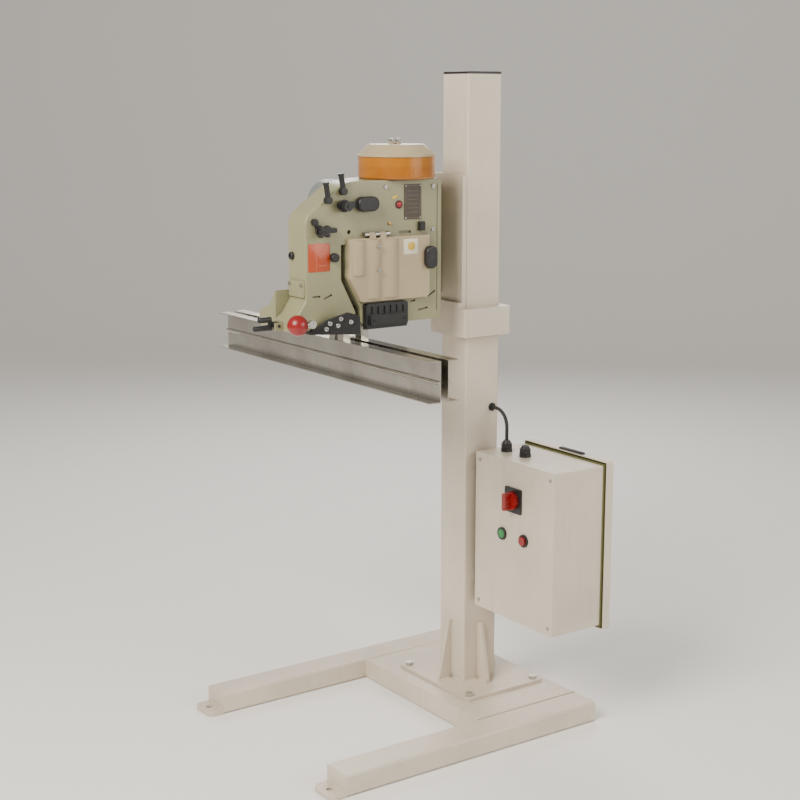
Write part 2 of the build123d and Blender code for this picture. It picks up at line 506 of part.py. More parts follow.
handwheel = vee_pulley(shaft_at, HANDWHEEL_R, PULLEY_Y)
handwheel += tube("Y", shaft_at, 16.0, SHAFT_R, (PULLEY_Y[0] - 4, PULLEY_Y[1] + 6))
handwheel -= tube("Y", shaft_at, 36.0, 20.0, (PULLEY_Y[1] - 6, PULLEY_Y[1] + 7))
for k in range(5):
    angle = 2 * pi * k / 5
    at = (SHAFT_X + 28 * cos(angle), SHAFT_Z + 28 * sin(angle))
    handwheel -= rod("Y", at, 6.5, (PULLEY_Y[0] - 5, PULLEY_Y[1] + 1))
handwheel -= rod("Y", shaft_at, SHAFT_R, (60, 110))
save("handwheel_pulley", handwheel)

motor_at = (MOTOR_X, MOTOR_Z)
motor_y = (116.0, 246.0)
motor = rod("Y", motor_at, 54.0, motor_y)
for k in range(28):
    angle = 360.0 * k / 28
    fin = Pos(0, 0, 55) * Box(2.5, motor_y[1] - motor_y[0] - 24, 8)
    motor += Pos(MOTOR_X, (motor_y[0] + motor_y[1]) / 2, MOTOR_Z) * Rot(0, angle, 0) * fin
motor += rod("Y", motor_at, 57.0, (motor_y[0], motor_y[0] + 10))
motor -= rod("Y", motor_at, 40.0, (motor_y[0] + 8, motor_y[1] - 8))
motor -= rod("Y", motor_at, 7.05, (motor_y[0] - 1, motor_y[1] + 1))
motor += block((MOTOR_X - 62, MOTOR_X - 50), (150.0, 212.0), (MOTOR_Z - 26, MOTOR_Z + 26))
motor += rounded((MOTOR_X - 92, MOTOR_X - 60), (146.0, 216.0), (MOTOR_Z - 30, MOTOR_Z + 30), 4.0, "X")
cowl = tube("Y", motor_at, 58.0, 53.0, (motor_y[1] - 4, motor_y[1] + 38))
cowl += rod("Y", motor_at, 58.0, (motor_y[1] + 36, motor_y[1] + 38.5))
for k in range(-4, 5):
    half_slot = sqrt(48.0 ** 2 - (k * 10.0) ** 2)
    cowl -= block((MOTOR_X - half_slot, MOTOR_X + half_slot), (motor_y[1] + 35, motor_y[1] + 40),
                  (MOTOR_Z + k * 10 - 2.5, MOTOR_Z + k * 10 + 2.5))
save("motor_body", motor + cowl)
rotor = rod("Y", motor_at, 7.0, (72.0, motor_y[1] + 26))
rotor += rod("Y", motor_at, 34.0, (motor_y[0] + 22, motor_y[1] - 22))
fan = rod("Y", motor_at, 14.0, (motor_y[1] + 6, motor_y[1] + 24))
for k in range(7):
    blade = Pos(0, 0, 31) * Box(2.5, 16, 38)
    fan += Pos(MOTOR_X, motor_y[1] + 15, MOTOR_Z) * Rot(0, 360.0 * k / 7, 0) * blade
save("motor_rotor", rotor + fan)
motor_pulley = vee_pulley(motor_at, MOTOR_PULLEY_R, PULLEY_Y)
motor_pulley += rod("Y", motor_at, 15.0, (PULLEY_Y[1] - 1, PULLEY_Y[1] + 10))
save("motor_pulley", motor_pulley - rod("Y", motor_at, 7.0, (70, 110)))

FLANGE_Y = (108.0, 116.0)
motor_bracket = rounded((MOTOR_X - 66, MOTOR_X + 66), FLANGE_Y, (MOTOR_Z - 66, MOTOR_Z + 66), 8.0, "Y")
arm_y = (HOUSING_BACK + 6, FLANGE_Y[0] + 1)
for px in (MOTOR_X - 56, MOTOR_X + 56):
    motor_bracket += block((px - 6, px + 6), arm_y, (MOTOR_Z - 20, MOTOR_Z + 60))
motor_bracket += block((MOTOR_X - 62, MOTOR_X + 62), arm_y, (MOTOR_Z + 52, MOTOR_Z + 60))
motor_bracket -= rod("Y", motor_at, 20.0, (FLANGE_Y[0] - 1, FLANGE_Y[1] + 1))
save("motor_bracket", motor_bracket)


def belt_loop(radius_a, radius_b, half_width):
    """Flat ring round both pulleys, from tangent lines and two discs."""
    dx, dz = MOTOR_X - SHAFT_X, MOTOR_Z - SHAFT_Z
    distance = sqrt(dx * dx + dz * dz)
    ux, uz = dx / distance, dz / distance
    lean = (radius_a - radius_b) / distance
    rise = sqrt(1 - lean * lean)
    middle = (PULLEY_Y[0] + PULLEY_Y[1]) / 2
    span = (middle - half_width, middle + half_width)
    corners = []
    for side in (1, -1):
        nx = ux * lean - side * uz * rise
        nz = uz * lean + side * ux * rise
        a = (SHAFT_X + nx * radius_a, SHAFT_Z + nz * radius_a)
        b = (MOTOR_X + nx * radius_b, MOTOR_Z + nz * radius_b)
        corners += [a, b] if side == 1 else [b, a]
    return slab(corners, span) + rod("Y", shaft_at, radius_a, span) + rod("Y", motor_at, radius_b, span)


belt = belt_loop(HANDWHEEL_R - 1.0, MOTOR_PULLEY_R - 1.0, 3.2)
belt -= belt_loop(HANDWHEEL_R - 7.5, MOTOR_PULLEY_R - 7.5, 5.0)
save("drive_belt", belt)

# ======================= needle, looper, feed, presser =======================
bar_at = (NEEDLE_Y, STITCH_Z)
BAR_END = THROAT_X[1] + 39
bar = rod("X", bar_at, 6.0, (BAR_END, BAR_END + 114))
bar += rounded((BAR_END + 88, BAR_END + 106), (NEEDLE_Y - 8, NEEDLE_Y + 8),
               (STITCH_Z - 8, STITCH_Z + 16), 3.0, "X")
bar -= rod("X", bar_at, 1.3, (BAR_END - 1, BAR_END + 15))
save("needle_bar", bar)
needle = rod("X", bar_at, 1.3, (BAR_END - 20, BAR_END + 15))
needle += Pos(BAR_END - 28, NEEDLE_Y, STITCH_Z) * Rot(0, -90, 0) * Cone(1.3, 0.3, 16)
save("needle", needle)
guides = []
for x0 in (BAR_END + 4, BAR_END + 40):
    guide = block((x0, x0 + 18), (NEEDLE_Y - 14, NEEDLE_Y + 14), (CAVITY_Z[0], STITCH_Z + 13))
    guides.append(guide - rod("X", bar_at, 6.0 + RUN_GAP, (x0 - 1, x0 + 19)))

LOOPER_AT = (-436.0, -30.0)
looper = rod("Z", LOOPER_AT, 5.0, (1008, 1072)) + rod("Z", LOOPER_AT, 9.0, (1012, 1027))
looper += block((LOOPER_AT[0], -402.0), (LOOPER_AT[1] - 3, LOOPER_AT[1] + 3), (1020.5, 1024.5))
looper += block((-406.0, -402.0), (-43.0, LOOPER_AT[1] + 3), (1020.5, 1024.0))
save("looper", looper)
looper_bracket = block((LOOPER_AT[0] - 14, LEG_X[1]), LEG_Y, (1040, 1062))
looper_bracket -= rod("Z", LOOPER_AT, 5.0 + RUN_GAP, (1039, 1063))
save("mechanism_brackets", looper_bracket, *guides)

dog = block((THROAT_X[1] - 2.5, THROAT_X[1] + 29), FEED_Y, FEED_Z)
for k in range(8):
    y0 = FEED_Y[0] + 3.25 * k
    tip_x = THROAT_X[1] - 3
    notch = Polyline((tip_x, y0, FEED_Z[0] - 1), (tip_x + 2, y0 + 3.0, FEED_Z[0] - 1),
                     (tip_x, y0 + 3.0, FEED_Z[0] - 1), close=True)
    dog -= extrude(make_face(notch), amount=20, dir=(0, 0, 1))
save("feed_dog", dog)
FOOT_X = THROAT_X[0] + 6
presser = rounded((FOOT_X, FOOT_X + 3), (-64.0, 4.0), (1000.0, 1032.0), 4.0, "X")
presser += rod("X", PRESSER_AT, PRESSER_STEM, (-424.0, FOOT_X + 2))
presser += rod("X", PRESSER_AT, 6.5, (-428.0, -422.0))
presser -= rod("X", bar_at, 3.2, (FOOT_X - 1, FOOT_X + 4))
save("presser_foot", presser)

BALL_AT = (-550.0, -103.0, 1007.0)
lift = rod("Y", LIFT_AT, 5.0, (-108.0, 76.0))
lift += rod("Y", LIFT_AT, 9.0, (66.3, 74.0)) + rod("Y", LIFT_AT, 9.0, (-109.0, -97.0))
lift += rod("X", (BALL_AT[1], BALL_AT[2]), 5.0, (BALL_AT[0] + 8, LIFT_AT[0]))
ball = Pos(*BALL_AT) * Sphere(23.0)
save("presser_lift_lever", lift)
save("red_ball_knob", ball - rod("X", (BALL_AT[1], BALL_AT[2]), 5.0, (BALL_AT[0] + 8, BALL_AT[0] + 30)))

CUTTER_AT = (FLARE_X - 11, 1000.0)
clevis = [block((FLARE_X - 20, FLARE_X), (y0, y0 + 5), (989.0, 1007.0)) for y0 in (-45.0, -16.0)]
clevis = [c - rod("Y", CUTTER_AT, 3.05, (-50, 0)) for c in clevis]
save("leg_side_cover", side_cover, *clevis)
cutter = rod("Y", CUTTER_AT, 3.0, (-47.0, -9.0)) + rod("Y", CUTTER_AT, 8.0, (-39.7, -16.3))
cutter += rod("X", (-28.0, CUTTER_AT[1]), 4.0, (CUTTER_AT[0] - 14, CUTTER_AT[0]))
cutter += block((CUTTER_AT[0] - 16, CUTTER_AT[0] - 10), (-32.0, -24.0), (990.0, 1018.0))
for bar_z, reach in ((1014.0, 30.0), (996.0, 42.0)):
    handle = rod("X", (-28.0, bar_z), 6.5, (CUTTER_AT[0] - 12 - reach, CUTTER_AT[0] - 12))
    cutter += fillet(handle.faces().sort_by(Axis.X)[0].edges(), 3.0)
save("cutter_lever", cutter)

# ======================= black shoe and guard =======================
SHOE_START = (-506.0, -79.0)
SHOE_TURN = -29.0
shoe_face = slab([(0, 980), (0, 985), (40, 1012), (84, 1028), (112, 1020), (112, 980)], (0.0, 12.0))
SHOE_SCREWS = [(46, 1005), (70, 1015), (38, 993), (64, 1000), (92, 1008)]
for sx, sz in SHOE_SCREWS:
    shoe_face += rod("Y", (sx, sz), 3.6, (-2.0, 1.0))
shoe = Pos(SHOE_START[0], SHOE_START[1], 0) * Rot(0, 0, SHOE_TURN) * shoe_face
tip_x = SHOE_START[0] + 112 * cos(SHOE_TURN * pi / 180)
tip_y = SHOE_START[1] + 112 * sin(SHOE_TURN * pi / 180)
sole_z = leg_bottom - 8
sole = Polyline((-504, SHOE_START[1] + 4, sole_z), (-504, LEG_BACK, sole_z), (-412, LEG_BACK, sole_z),
                (-412, HEAD_FACE, sole_z), (tip_x + 2, HEAD_FACE - 4, sole_z), (tip_x, tip_y + 4, sole_z),
                close=True)
shoe += extrude(make_face(sole), amount=leg_bottom - sole_z, dir=(0, 0, 1))
shoe -= block((-570, -380), (HEAD_FACE, LEG_BACK + 1), (leg_bottom, 1032))
save("infeed_shoe", shoe)
GUARD_X = (-362.0, -248.0)
guard = rounded(GUARD_X, (HEAD_FACE - 14, HEAD_FACE), (984.0, 1038.0), 6.0, "Y")
guard += block((GUARD_X[0] + 8, GUARD_X[1] - 8), (HEAD_FACE - 22, HEAD_FACE - 13), (990.0, 1012.0))
guard += block(GUARD_X, (HEAD_FACE - 10, HEAD_FACE), (980.0, 987.0))
guard += block((GUARD_X[0] + 25, GUARD_X[1]), (HEAD_FACE - 1, HOUSING_BACK - 10), (980.0, HEAD_Z[0]))
for k in range(6):
    gx = GUARD_X[0] + 12 + 17.0 * k
    guard -= block((gx, gx + 5), (HEAD_FACE - 15, HEAD_FACE - 11), (1014.0, 1031.0))
save("feed_guard", guard)

# ======================= front cover =======================
COVER_CORNER = (THROAT_X[1] - 7.0, COVER_Z[0])
COVER_BEND_Z = 1097.0


def cover_shell(inset, y):
    """Outline of the cover, its lower left edge slanting beside the throat."""
    outline = [(COVER_X[0] + inset, COVER_Z[1] - inset), (COVER_X[0] + inset, COVER_BEND_Z + inset / 2),
               (COVER_CORNER[0] + inset, COVER_CORNER[1] + inset),
               (COVER_X[1] - inset, COVER_Z[0] + inset), (COVER_X[1] - inset, COVER_Z[1] - inset)]
    return slab(outline, y)


cover = cover_shell(0.0, (HEAD_FACE - COVER_THICK, HEAD_FACE - 0.4))
cover = fillet(edges_at(cover, "Y", COVER_X[1], COVER_Z[0]), 12.0)
cover = fillet(edges_at(cover, "Y", *COVER_CORNER), 8.0)
cover = fillet(edges_at(cover, "Y", COVER_X[0], COVER_BEND_Z), 14.0)
cover = fillet(cover.faces().sort_by(Axis.Y)[0].edges(), 2.5)
cover -= cover_shell(4.0, (HEAD_FACE - COVER_THICK + 4, HEAD_FACE + 1))
# soft flutes: middle measured from the left edge, width, lower end
FLUTE_PROUD = 5.0
FLUTES = ((24.0, 34.0, 1104.0), (65.0, 38.0, COVER_Z[0] + 8), (110.0, 42.0, COVER_Z[0] + 8))
front_y = HEAD_FACE - COVER_THICK
for middle, flute_wide, flute_low in FLUTES:
    flute_r = (flute_wide ** 2 / 4 + FLUTE_PROUD ** 2) / (2 * FLUTE_PROUD)
    span = (flute_low, COVER_Z[1] - 4)
    fx = COVER_X[0] + middle
    flute = rod("Z", (fx, front_y - FLUTE_PROUD + flute_r), flute_r, span)
    cover += flute & block((fx - flute_wide, fx + flute_wide), (front_y - 10, front_y + 0.5), span)
for sz in (1114.0, 1166.0):
    cover += rod("Y", (COVER_X[0] + 72, sz), 4.0, (front_y - FLUTE_PROUD - 2, front_y + 0.5))
for hx in (COVER_X[0] + 54, COVER_X[0] + 82):
    cover += rod("X", (HINGE_Y, HINGE_Z), 5.0, (hx, hx + 15))
    cover += block((hx, hx + 15), (HEAD_FACE - COVER_THICK, HINGE_Y), (COVER_Z[1] - 2, HINGE_Z))
cover -= rod("X", (HINGE_Y, HINGE_Z), 2.5 + RUN_GAP, (COVER_X[0], COVER_X[1]))
cover -= rod("Y", COVER_KNOB_AT, 4.05, (HEAD_FACE - COVER_THICK - 1, HEAD_FACE + 1))
save("front_cover", cover)
hinge = rod("X", (HINGE_Y, HINGE_Z), 2.5, (COVER_X[0] + 44, COVER_X[0] + 107))
for hx in (COVER_X[0] + 42, COVER_X[0] + 70, COVER_X[0] + 98):
    hinge += rod("X", (HINGE_Y, HINGE_Z), 5.0, (hx, hx + 11))
    hinge += block((hx, hx + 11), (HINGE_Y, HEAD_FACE), (HINGE_Z - 2, HINGE_Z + 5))
knob = rod("Y", COVER_KNOB_AT, 4.0, (HEAD_FACE - COVER_THICK - 8, HEAD_FACE + 9))
grip = rounded((COVER_KNOB_AT[0] - 15, COVER_KNOB_AT[0] + 15),
               (HEAD_FACE - COVER_THICK - 14, HEAD_FACE - COVER_THICK - 0.3),
               (COVER_KNOB_AT[1] - 26, COVER_KNOB_AT[1] + 26), 14.8, "Y")
knob += fillet(grip.faces().sort_by(Axis.Y)[0].edges(), 4.0)
knob += block((COVER_KNOB_AT[0] - 3, COVER_KNOB_AT[0] + 3), (HEAD_FACE + 6, HEAD_FACE + 9),
              (COVER_KNOB_AT[1] - 8, COVER_KNOB_AT[1] + 8))
save("cover_knob", knob)

# ======================= thread path and small fittings =======================
TENSION_AT = (-419.0, 1259.0)
OVAL_X = (-381.0, -326.0)
post = rod("Y", TENSION_AT, 3.5, (HEAD_FACE - 36, HEAD_FACE))
post += rod("Y", TENSION_AT, 10.0, (HEAD_FACE - 9, HEAD_FACE))
for y0 in (-86.0, -90.0):
    post += rod("Y", TENSION_AT, 14.0, (y0 - 1.6, y0))
post += slab([(TENSION_AT[0], 1252), (-360, 1254), (-360, 1268), (TENSION_AT[0], 1266)],
             (HEAD_FACE - 8, HEAD_FACE))
oval = rounded(OVAL_X, (HEAD_FACE - 17, HEAD_FACE), (1244.0, 1277.0), 15.8, "Y")
post += fillet(oval.faces().sort_by(Axis.Y)[0].edges(), 4.0)
upper = rod("Y", TENSION_AT, 11.0, (HEAD_FACE - 34, HEAD_FACE - 20))
for k in range(12):
    angle = 2 * pi * k / 12
    notch_at = (TENSION_AT[0] + 11.6 * cos(angle), TENSION_AT[1] + 11.6 * sin(angle))
    upper -= rod("Y", notch_at, 1.8, (HEAD_FACE - 39, HEAD_FACE - 19))
save("upper_tension_knob", upper - rod("Y", TENSION_AT, 3.5 + RUN_GAP, (HEAD_FACE - 41, HEAD_FACE - 19)))
LOWER_AT = (-475.0, 1206.0)
low_post = rod("Y", LOWER_AT, 3.0, (HEAD_FACE - 30, HEAD_FACE))
low_post += rod("Y", LOWER_AT, 11.0, (HEAD_FACE - 6, HEAD_FACE))
low_post += rounded((LOWER_AT[0], -434.0), (HEAD_FACE - 9, HEAD_FACE), (1201.0, 1212.0), 4.0, "Y")
low_post += rod("Y", (-489.0, 1226.0), 7.5, (HEAD_FACE - 8, HEAD_FACE))
low_post += slab([(-493, 1222), (-485, 1228), (-471, 1209), (-479, 1203)], (HEAD_FACE - 3, HEAD_FACE))
star = rod("Y", LOWER_AT, 8.0, (HEAD_FACE - 28, HEAD_FACE - 10))
for k in range(4):
    arm = Pos(0, 0, 8) * Box(6.5, 16, 15)
    star += Pos(LOWER_AT[0], HEAD_FACE - 19, LOWER_AT[1]) * Rot(0, 45 + 90 * k, 0) * arm
save("lower_tension_knob", star - rod("Y", LOWER_AT, 3.0 + RUN_GAP, (HEAD_FACE - 31, HEAD_FACE - 9)))
pins = []
for px, pz in ((-456.0, 1272.0), (-417.0, 1290.0)):
    pin = rod("Z", (0.0, 0.0), 6.0, (-4.0, 40.0)) + rod("Z", (0.0, 0.0), 7.2, (35.0, 40.0))
    pin -= rod("Y", (0.0, 27.0), 1.6, (-8.0, 8.0))
    pin = Pos(px, HEAD_FACE - 8, pz) * Rot(0, -9, 0) * pin
    pins.append(pin + rod("Y", (px, pz), 8.0, (HEAD_FACE - 14, HEAD_FACE)))
studs = [rod("Y", (-439.0, 1146.0), 10.0, (HEAD_FACE - 12, HEAD_FACE)),
         block((-211.0, -197.0), (HEAD_FACE - 12, HEAD_FACE), (1195.0, 1215.0))]
studs = [fillet(stud.faces().sort_by(Axis.Y)[0].edges(), 3.0) for stud in studs]
save("thread_fittings", post, low_post, *pins, *studs)
save("nameplate", rounded((-249.0, -202.0), (HEAD_FACE - 1.2, HEAD_FACE), (1221.0, 1300.0), 3.0, "Y"))

# ======================= oil tank =======================
tank = rod("Z", TANK_AT, TANK_R, TANK_Z)
tank = fillet(tank.faces().sort_by(Axis.Z)[0].edges(), 6.0)
tank -= rod("Z", TANK_AT, TANK_R - 3, (TANK_Z[0] + 4, TANK_Z[1] + 1))
save("oil_tank", tank)
LID_HINGE = (TANK_AT[1] + TANK_R + 4.0, TANK_Z[1] + 3.0)
EAR_X = (TANK_AT[0] - 16.0, TANK_AT[0] + 10.0)
tank_back = TANK_AT[1] + TANK_R
ears = []
for hx in EAR_X:
    ear = block((hx, hx + 6), (tank_back - 0.5, LID_HINGE[0] + 4), (TANK_Z[1] - 18, LID_HINGE[1] + 4))
    ear -= rod("Z", TANK_AT, TANK_R, TANK_Z)
    ears.append(ear)
pin_span = (EAR_X[0], EAR_X[1] + 6)
lid_pin = rod("X", LID_HINGE, 2.0, pin_span)
save("hinge_pins", hinge, ears[0] + lid_pin + ears[1])
lid = rod("Z", TANK_AT, TANK_R + 2, (TANK_Z[1] + 0.3, TANK_Z[1] + 5))
dome = (TANK_Z[1] + 4, LID_TOP)
lid += Pos(TANK_AT[0], TANK_AT[1], (dome[0] + dome[1]) / 2) * Cone(TANK_R + 1, TANK_R - 24, dome[1] - dome[0])
lid -= rod("Z", TANK_AT, TANK_R - 30, (TANK_Z[1], LID_TOP - 4))
for hx in EAR_X:
    lid -= block((hx - 0.6, hx + 6.6), (tank_back - 9, tank_back + 12), (TANK_Z[1], LID_TOP))
tab_x = (EAR_X[0] + 6.6, EAR_X[1] - 0.6)
lid += block(tab_x, (tank_back - 12, LID_HINGE[0]), (TANK_Z[1] + 0.5, TANK_Z[1] + 5))
lid += rod("X", LID_HINGE, 4.0, tab_x)
lid -= rod("X", LID_HINGE, 2.0 + RUN_GAP, pin_span)
lid -= block(tab_x, (tank_back - 0.2, LID_HINGE[0] + 6), (TANK_Z[1] - 4, TANK_Z[1] + 0.3))
for fx in (TANK_AT[0] - 14, TANK_AT[0] + 4):
    lid += rod("Z", (fx, TANK_AT[1]), 5.0, (LID_TOP - 1, LID_TOP + 7))
    lid += rod("Z", (fx, TANK_AT[1]), 7.5, (LID_TOP - 1, LID_TOP + 3))
save("oil_tank_lid", lid)

# ======================= bag guide rails =======================
GUIDE_GAP = (THROAT_X[0] - 2.0, THROAT_X[1] + 2.0)


def guide_rail(face_x, outward):
    """Bent sheet: a vertical face beside the bag with a lip at the top and a return at the bottom."""
    back = face_x + outward * GUIDE_SHEET
    lip = face_x + outward * 28.0
    x_face = (min(face_x, back), max(face_x, back))
    x_lip = (min(face_x, lip), max(face_x, lip))
    rail = block(x_face, GUIDE_Y, GUIDE_Z)
    rail += block(x_lip, GUIDE_Y, (GUIDE_Z[1] - GUIDE_SHEET, GUIDE_Z[1]))
    rail += block(x_lip, GUIDE_Y, (GUIDE_Z[0], GUIDE_Z[0] + GUIDE_SHEET))
    bead_x = face_x + outward * 4.0
    rail += rod("Y", (bead_x, 908.0), 4.0, GUIDE_Y)
    return rail


save("bag_guide_front", guide_rail(GUIDE_GAP[0], -1))
save("bag_guide_rear", guide_rail(GUIDE_GAP[1], 1))
front_hangers = [block((-410.0, -392.0), (y0, y0 + 24), (GUIDE_Z[1], leg_bottom)) for y0 in (-68.0, -32.0)]
rear_hangers = [block((-357.0, -338.0), (y0, y0 + 24), (GUIDE_Z[1], HEAD_Z[0])) for y0 in (-60.0, 30.0)]
save("guide_hangers", *front_hangers, *rear_hangers)
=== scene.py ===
"""Looks of the bag closer sewing machine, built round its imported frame."""
import json
import math
import random

import bmesh
import bpy
from mathutils import Matrix, Vector


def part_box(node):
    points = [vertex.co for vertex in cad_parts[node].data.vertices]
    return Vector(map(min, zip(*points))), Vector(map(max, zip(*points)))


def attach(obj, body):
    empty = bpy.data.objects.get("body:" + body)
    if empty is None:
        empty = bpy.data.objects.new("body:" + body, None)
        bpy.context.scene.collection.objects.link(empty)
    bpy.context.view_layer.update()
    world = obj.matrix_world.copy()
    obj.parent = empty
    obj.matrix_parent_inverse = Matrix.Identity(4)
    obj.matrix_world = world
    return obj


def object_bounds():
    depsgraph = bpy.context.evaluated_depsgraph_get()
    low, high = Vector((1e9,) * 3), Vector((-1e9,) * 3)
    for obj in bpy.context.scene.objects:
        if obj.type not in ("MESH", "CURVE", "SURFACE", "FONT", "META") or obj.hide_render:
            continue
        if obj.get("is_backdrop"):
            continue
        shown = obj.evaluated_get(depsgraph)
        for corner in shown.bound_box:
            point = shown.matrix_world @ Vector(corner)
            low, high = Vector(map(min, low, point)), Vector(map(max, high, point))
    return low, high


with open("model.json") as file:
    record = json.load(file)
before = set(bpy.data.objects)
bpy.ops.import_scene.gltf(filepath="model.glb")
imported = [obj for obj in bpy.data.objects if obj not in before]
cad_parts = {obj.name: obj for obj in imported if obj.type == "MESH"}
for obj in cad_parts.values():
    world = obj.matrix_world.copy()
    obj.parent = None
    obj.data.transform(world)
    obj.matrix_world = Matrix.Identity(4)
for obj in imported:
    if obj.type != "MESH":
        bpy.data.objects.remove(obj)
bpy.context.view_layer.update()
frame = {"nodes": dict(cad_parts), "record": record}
SEED = 7
random.seed(SEED)


# ---------------------------------------------------------------- node helpers
RAY_SAMPLES = 4
# cosine between the true and the rounded normal: flat face, sharp edge
EDGE_FLAT, EDGE_SHARP = 0.98, 0.86


class Tree:
    """Small helper round one material's node tree."""

    def __init__(self, name):
        self.mat = bpy.data.materials.new(name)
        self.mat.use_nodes = True
        self.nodes = self.mat.node_tree.nodes
        self.links = self.mat.node_tree.links
        self.nodes.clear()
        self.out = self.add("ShaderNodeOutputMaterial")
        self.shader = self.add("ShaderNodeBsdfPrincipled")
        self.link(self.shader.outputs[0], self.out.inputs[0])
        self.coords = self.add("ShaderNodeTexCoord").outputs["Object"]

    def add(self, kind, **props):
        node = self.nodes.new(kind)
        for key, value in props.items():
            setattr(node, key, value)
        return node

    def link(self, a, b):
        self.links.new(a, b)

    def noise(self, scale, detail=3.0, rough=0.5, stretch=None):
        source = self.coords
        if stretch:
            mapping = self.add("ShaderNodeMapping")
            mapping.inputs["Scale"].default_value = stretch
            self.link(self.coords, mapping.inputs["Vector"])
            source = mapping.outputs[0]
        node = self.add("ShaderNodeTexNoise")
        node.inputs["Scale"].default_value = scale
        node.inputs["Detail"].default_value = detail
        node.inputs["Roughness"].default_value = rough
        self.link(source, node.inputs["Vector"])
        return node.outputs["Fac"]

    def remap(self, value, low, high, to_low=0.0, to_high=1.0):
        node = self.add("ShaderNodeMapRange")
        node.inputs["From Min"].default_value = low
        node.inputs["From Max"].default_value = high
        node.inputs["To Min"].default_value = to_low
        node.inputs["To Max"].default_value = to_high
        self.link(value, node.inputs["Value"])
        return node.outputs[0]

    def math(self, operation, a, b):
        node = self.add("ShaderNodeMath", operation=operation)
        for socket, value in zip(node.inputs, (a, b)):
            if isinstance(value, (int, float)):
                socket.default_value = value
            else:
                self.link(value, socket)
        return node.outputs[0]

    def mix(self, factor, a, b):
        node = self.add("ShaderNodeMix", data_type="RGBA")
        if isinstance(factor, (int, float)):
            node.inputs["Factor"].default_value = factor
        else:
            self.link(factor, node.inputs["Factor"])
        for socket, value in ((node.inputs[6], a), (node.inputs[7], b)):
            if isinstance(value, tuple):
                socket.default_value = (*value, 1.0)
            else:
                self.link(value, socket)
        return node.outputs[2]

    def edge_mask(self, radius):
        """1 on convex and concave edges within the radius, 0 on flats."""
        bevel = self.add("ShaderNodeBevel", samples=RAY_SAMPLES)
        bevel.inputs["Radius"].default_value = radius
        geometry = self.add("ShaderNodeNewGeometry")
        dot = self.add("ShaderNodeVectorMath", operation="DOT_PRODUCT")
        self.link(bevel.outputs[0], dot.inputs[0])
        self.link(geometry.outputs["Normal"], dot.inputs[1])
        return self.remap(dot.outputs["Value"], EDGE_FLAT, EDGE_SHARP)

    def corner_shade(self, distance):
        """Painted shade from ambient occlusion: 1 deep in corners, 0 in the open."""
        occlusion = self.add("ShaderNodeAmbientOcclusion", samples=RAY_SAMPLES)
        occlusion.inputs["Distance"].default_value = distance
        return self.remap(occlusion.outputs["AO"], 0.75, 0.25)

    def bump(self, height, strength, distance, soften=0.0):
        node = self.add("ShaderNodeBump")
        node.inputs["Strength"].default_value = strength
        node.inputs["Distance"].default_value = distance
        self.link(height, node.inputs["Height"])
        if soften:
            bevel = self.add("ShaderNodeBevel", samples=RAY_SAMPLES)
            bevel.inputs["Radius"].default_value = soften
            self.link(bevel.outputs[0], node.inputs["Normal"])
        self.link(node.outputs[0], self.shader.inputs["Normal"])

    def set(self, **values):
        for key, value in values.items():
            socket = self.shader.inputs[key.replace("_", " ")]
            if isinstance(value, tuple):
                socket.default_value = (*value, 1.0)
            elif isinstance(value, (int, float)):
                socket.default_value = value
            else:
                self.link(value, socket)


def srgb(r, g, b):
    """Linear colour from 0-255 display values."""
    def lin(v):
        v /= 255.0
        return v / 12.92 if v <= 0.04045 else ((v + 0.055) / 1.055) ** 2.4
    return (lin(r), lin(g), lin(b))


def scaled(color, k):
    """The colour made darker or lighter by a factor."""
    return tuple(min(1.0, c * k) for c in color)


# colour of the painted shade in the corners of enamel
SHADE_BROWN = (0.10, 0.075, 0.05)
# colour of the painted shade in the corners of bare metal
METAL_SHADE = (0.05, 0.04, 0.03)
DUST = (0.42, 0.37, 0.30)
BARE_METAL = (0.30, 0.29, 0.27)


def paint(name, color, rough=0.42, peel=420.0, wear=0.55, painted_shade=0.45, coat=0.25, bare=BARE_METAL,
          edge=0.0011):
    """Enamel or powder coat: orange peel, faint staining, painted shade in corners and chipped edges."""
    t = Tree(name)
    broad = t.noise(5.0, 4.0, 0.6)
    patch = t.noise(38.0, 5.0, 0.65)
    base = t.mix(t.remap(broad, 0.35, 0.7), color, scaled(color, 0.86))
    streak = t.noise(9.0, 4.0, 0.6, (7.0, 7.0, 0.6))
    streaked = (color[0] * 0.55, color[1] * 0.48, color[2] * 0.38)
    base = t.mix(t.remap(streak, 0.56, 0.74, 0.0, 0.16), base, streaked)
    # painted shade: occlusion darkens the corners, broken up by patchy noise and scaled by its strength
    shade_mask = t.math("MULTIPLY", t.corner_shade(0.018), t.remap(patch, 0.3, 0.65, 0.25, 1.0))
    base = t.mix(t.math("MULTIPLY", shade_mask, painted_shade), base, SHADE_BROWN)
    chips = t.math("MULTIPLY", t.edge_mask(edge), t.remap(t.noise(95.0, 6.0, 0.7), 0.56, 0.62))
    chips = t.math("MULTIPLY", chips, wear)
    base = t.mix(chips, base, bare)
    spots = t.remap(t.noise(240.0, 2.0, 0.5), 0.735, 0.76, 0.0, 0.55)
    base = t.mix(spots, base, scaled(color, 0.42))
    t.set(Base_Color=base, Coat_Weight=coat, Coat_Roughness=0.28, IOR=1.47)
    t.set(Roughness=t.remap(patch, 0.3, 0.7, rough - 0.07, rough + 0.13))
    peeled = t.noise(peel, 2.0, 0.5)
    t.bump(t.math("ADD", peeled, t.math("MULTIPLY", chips, -0.8)), 0.16, 0.0004, 0.0009)
    return t.mat


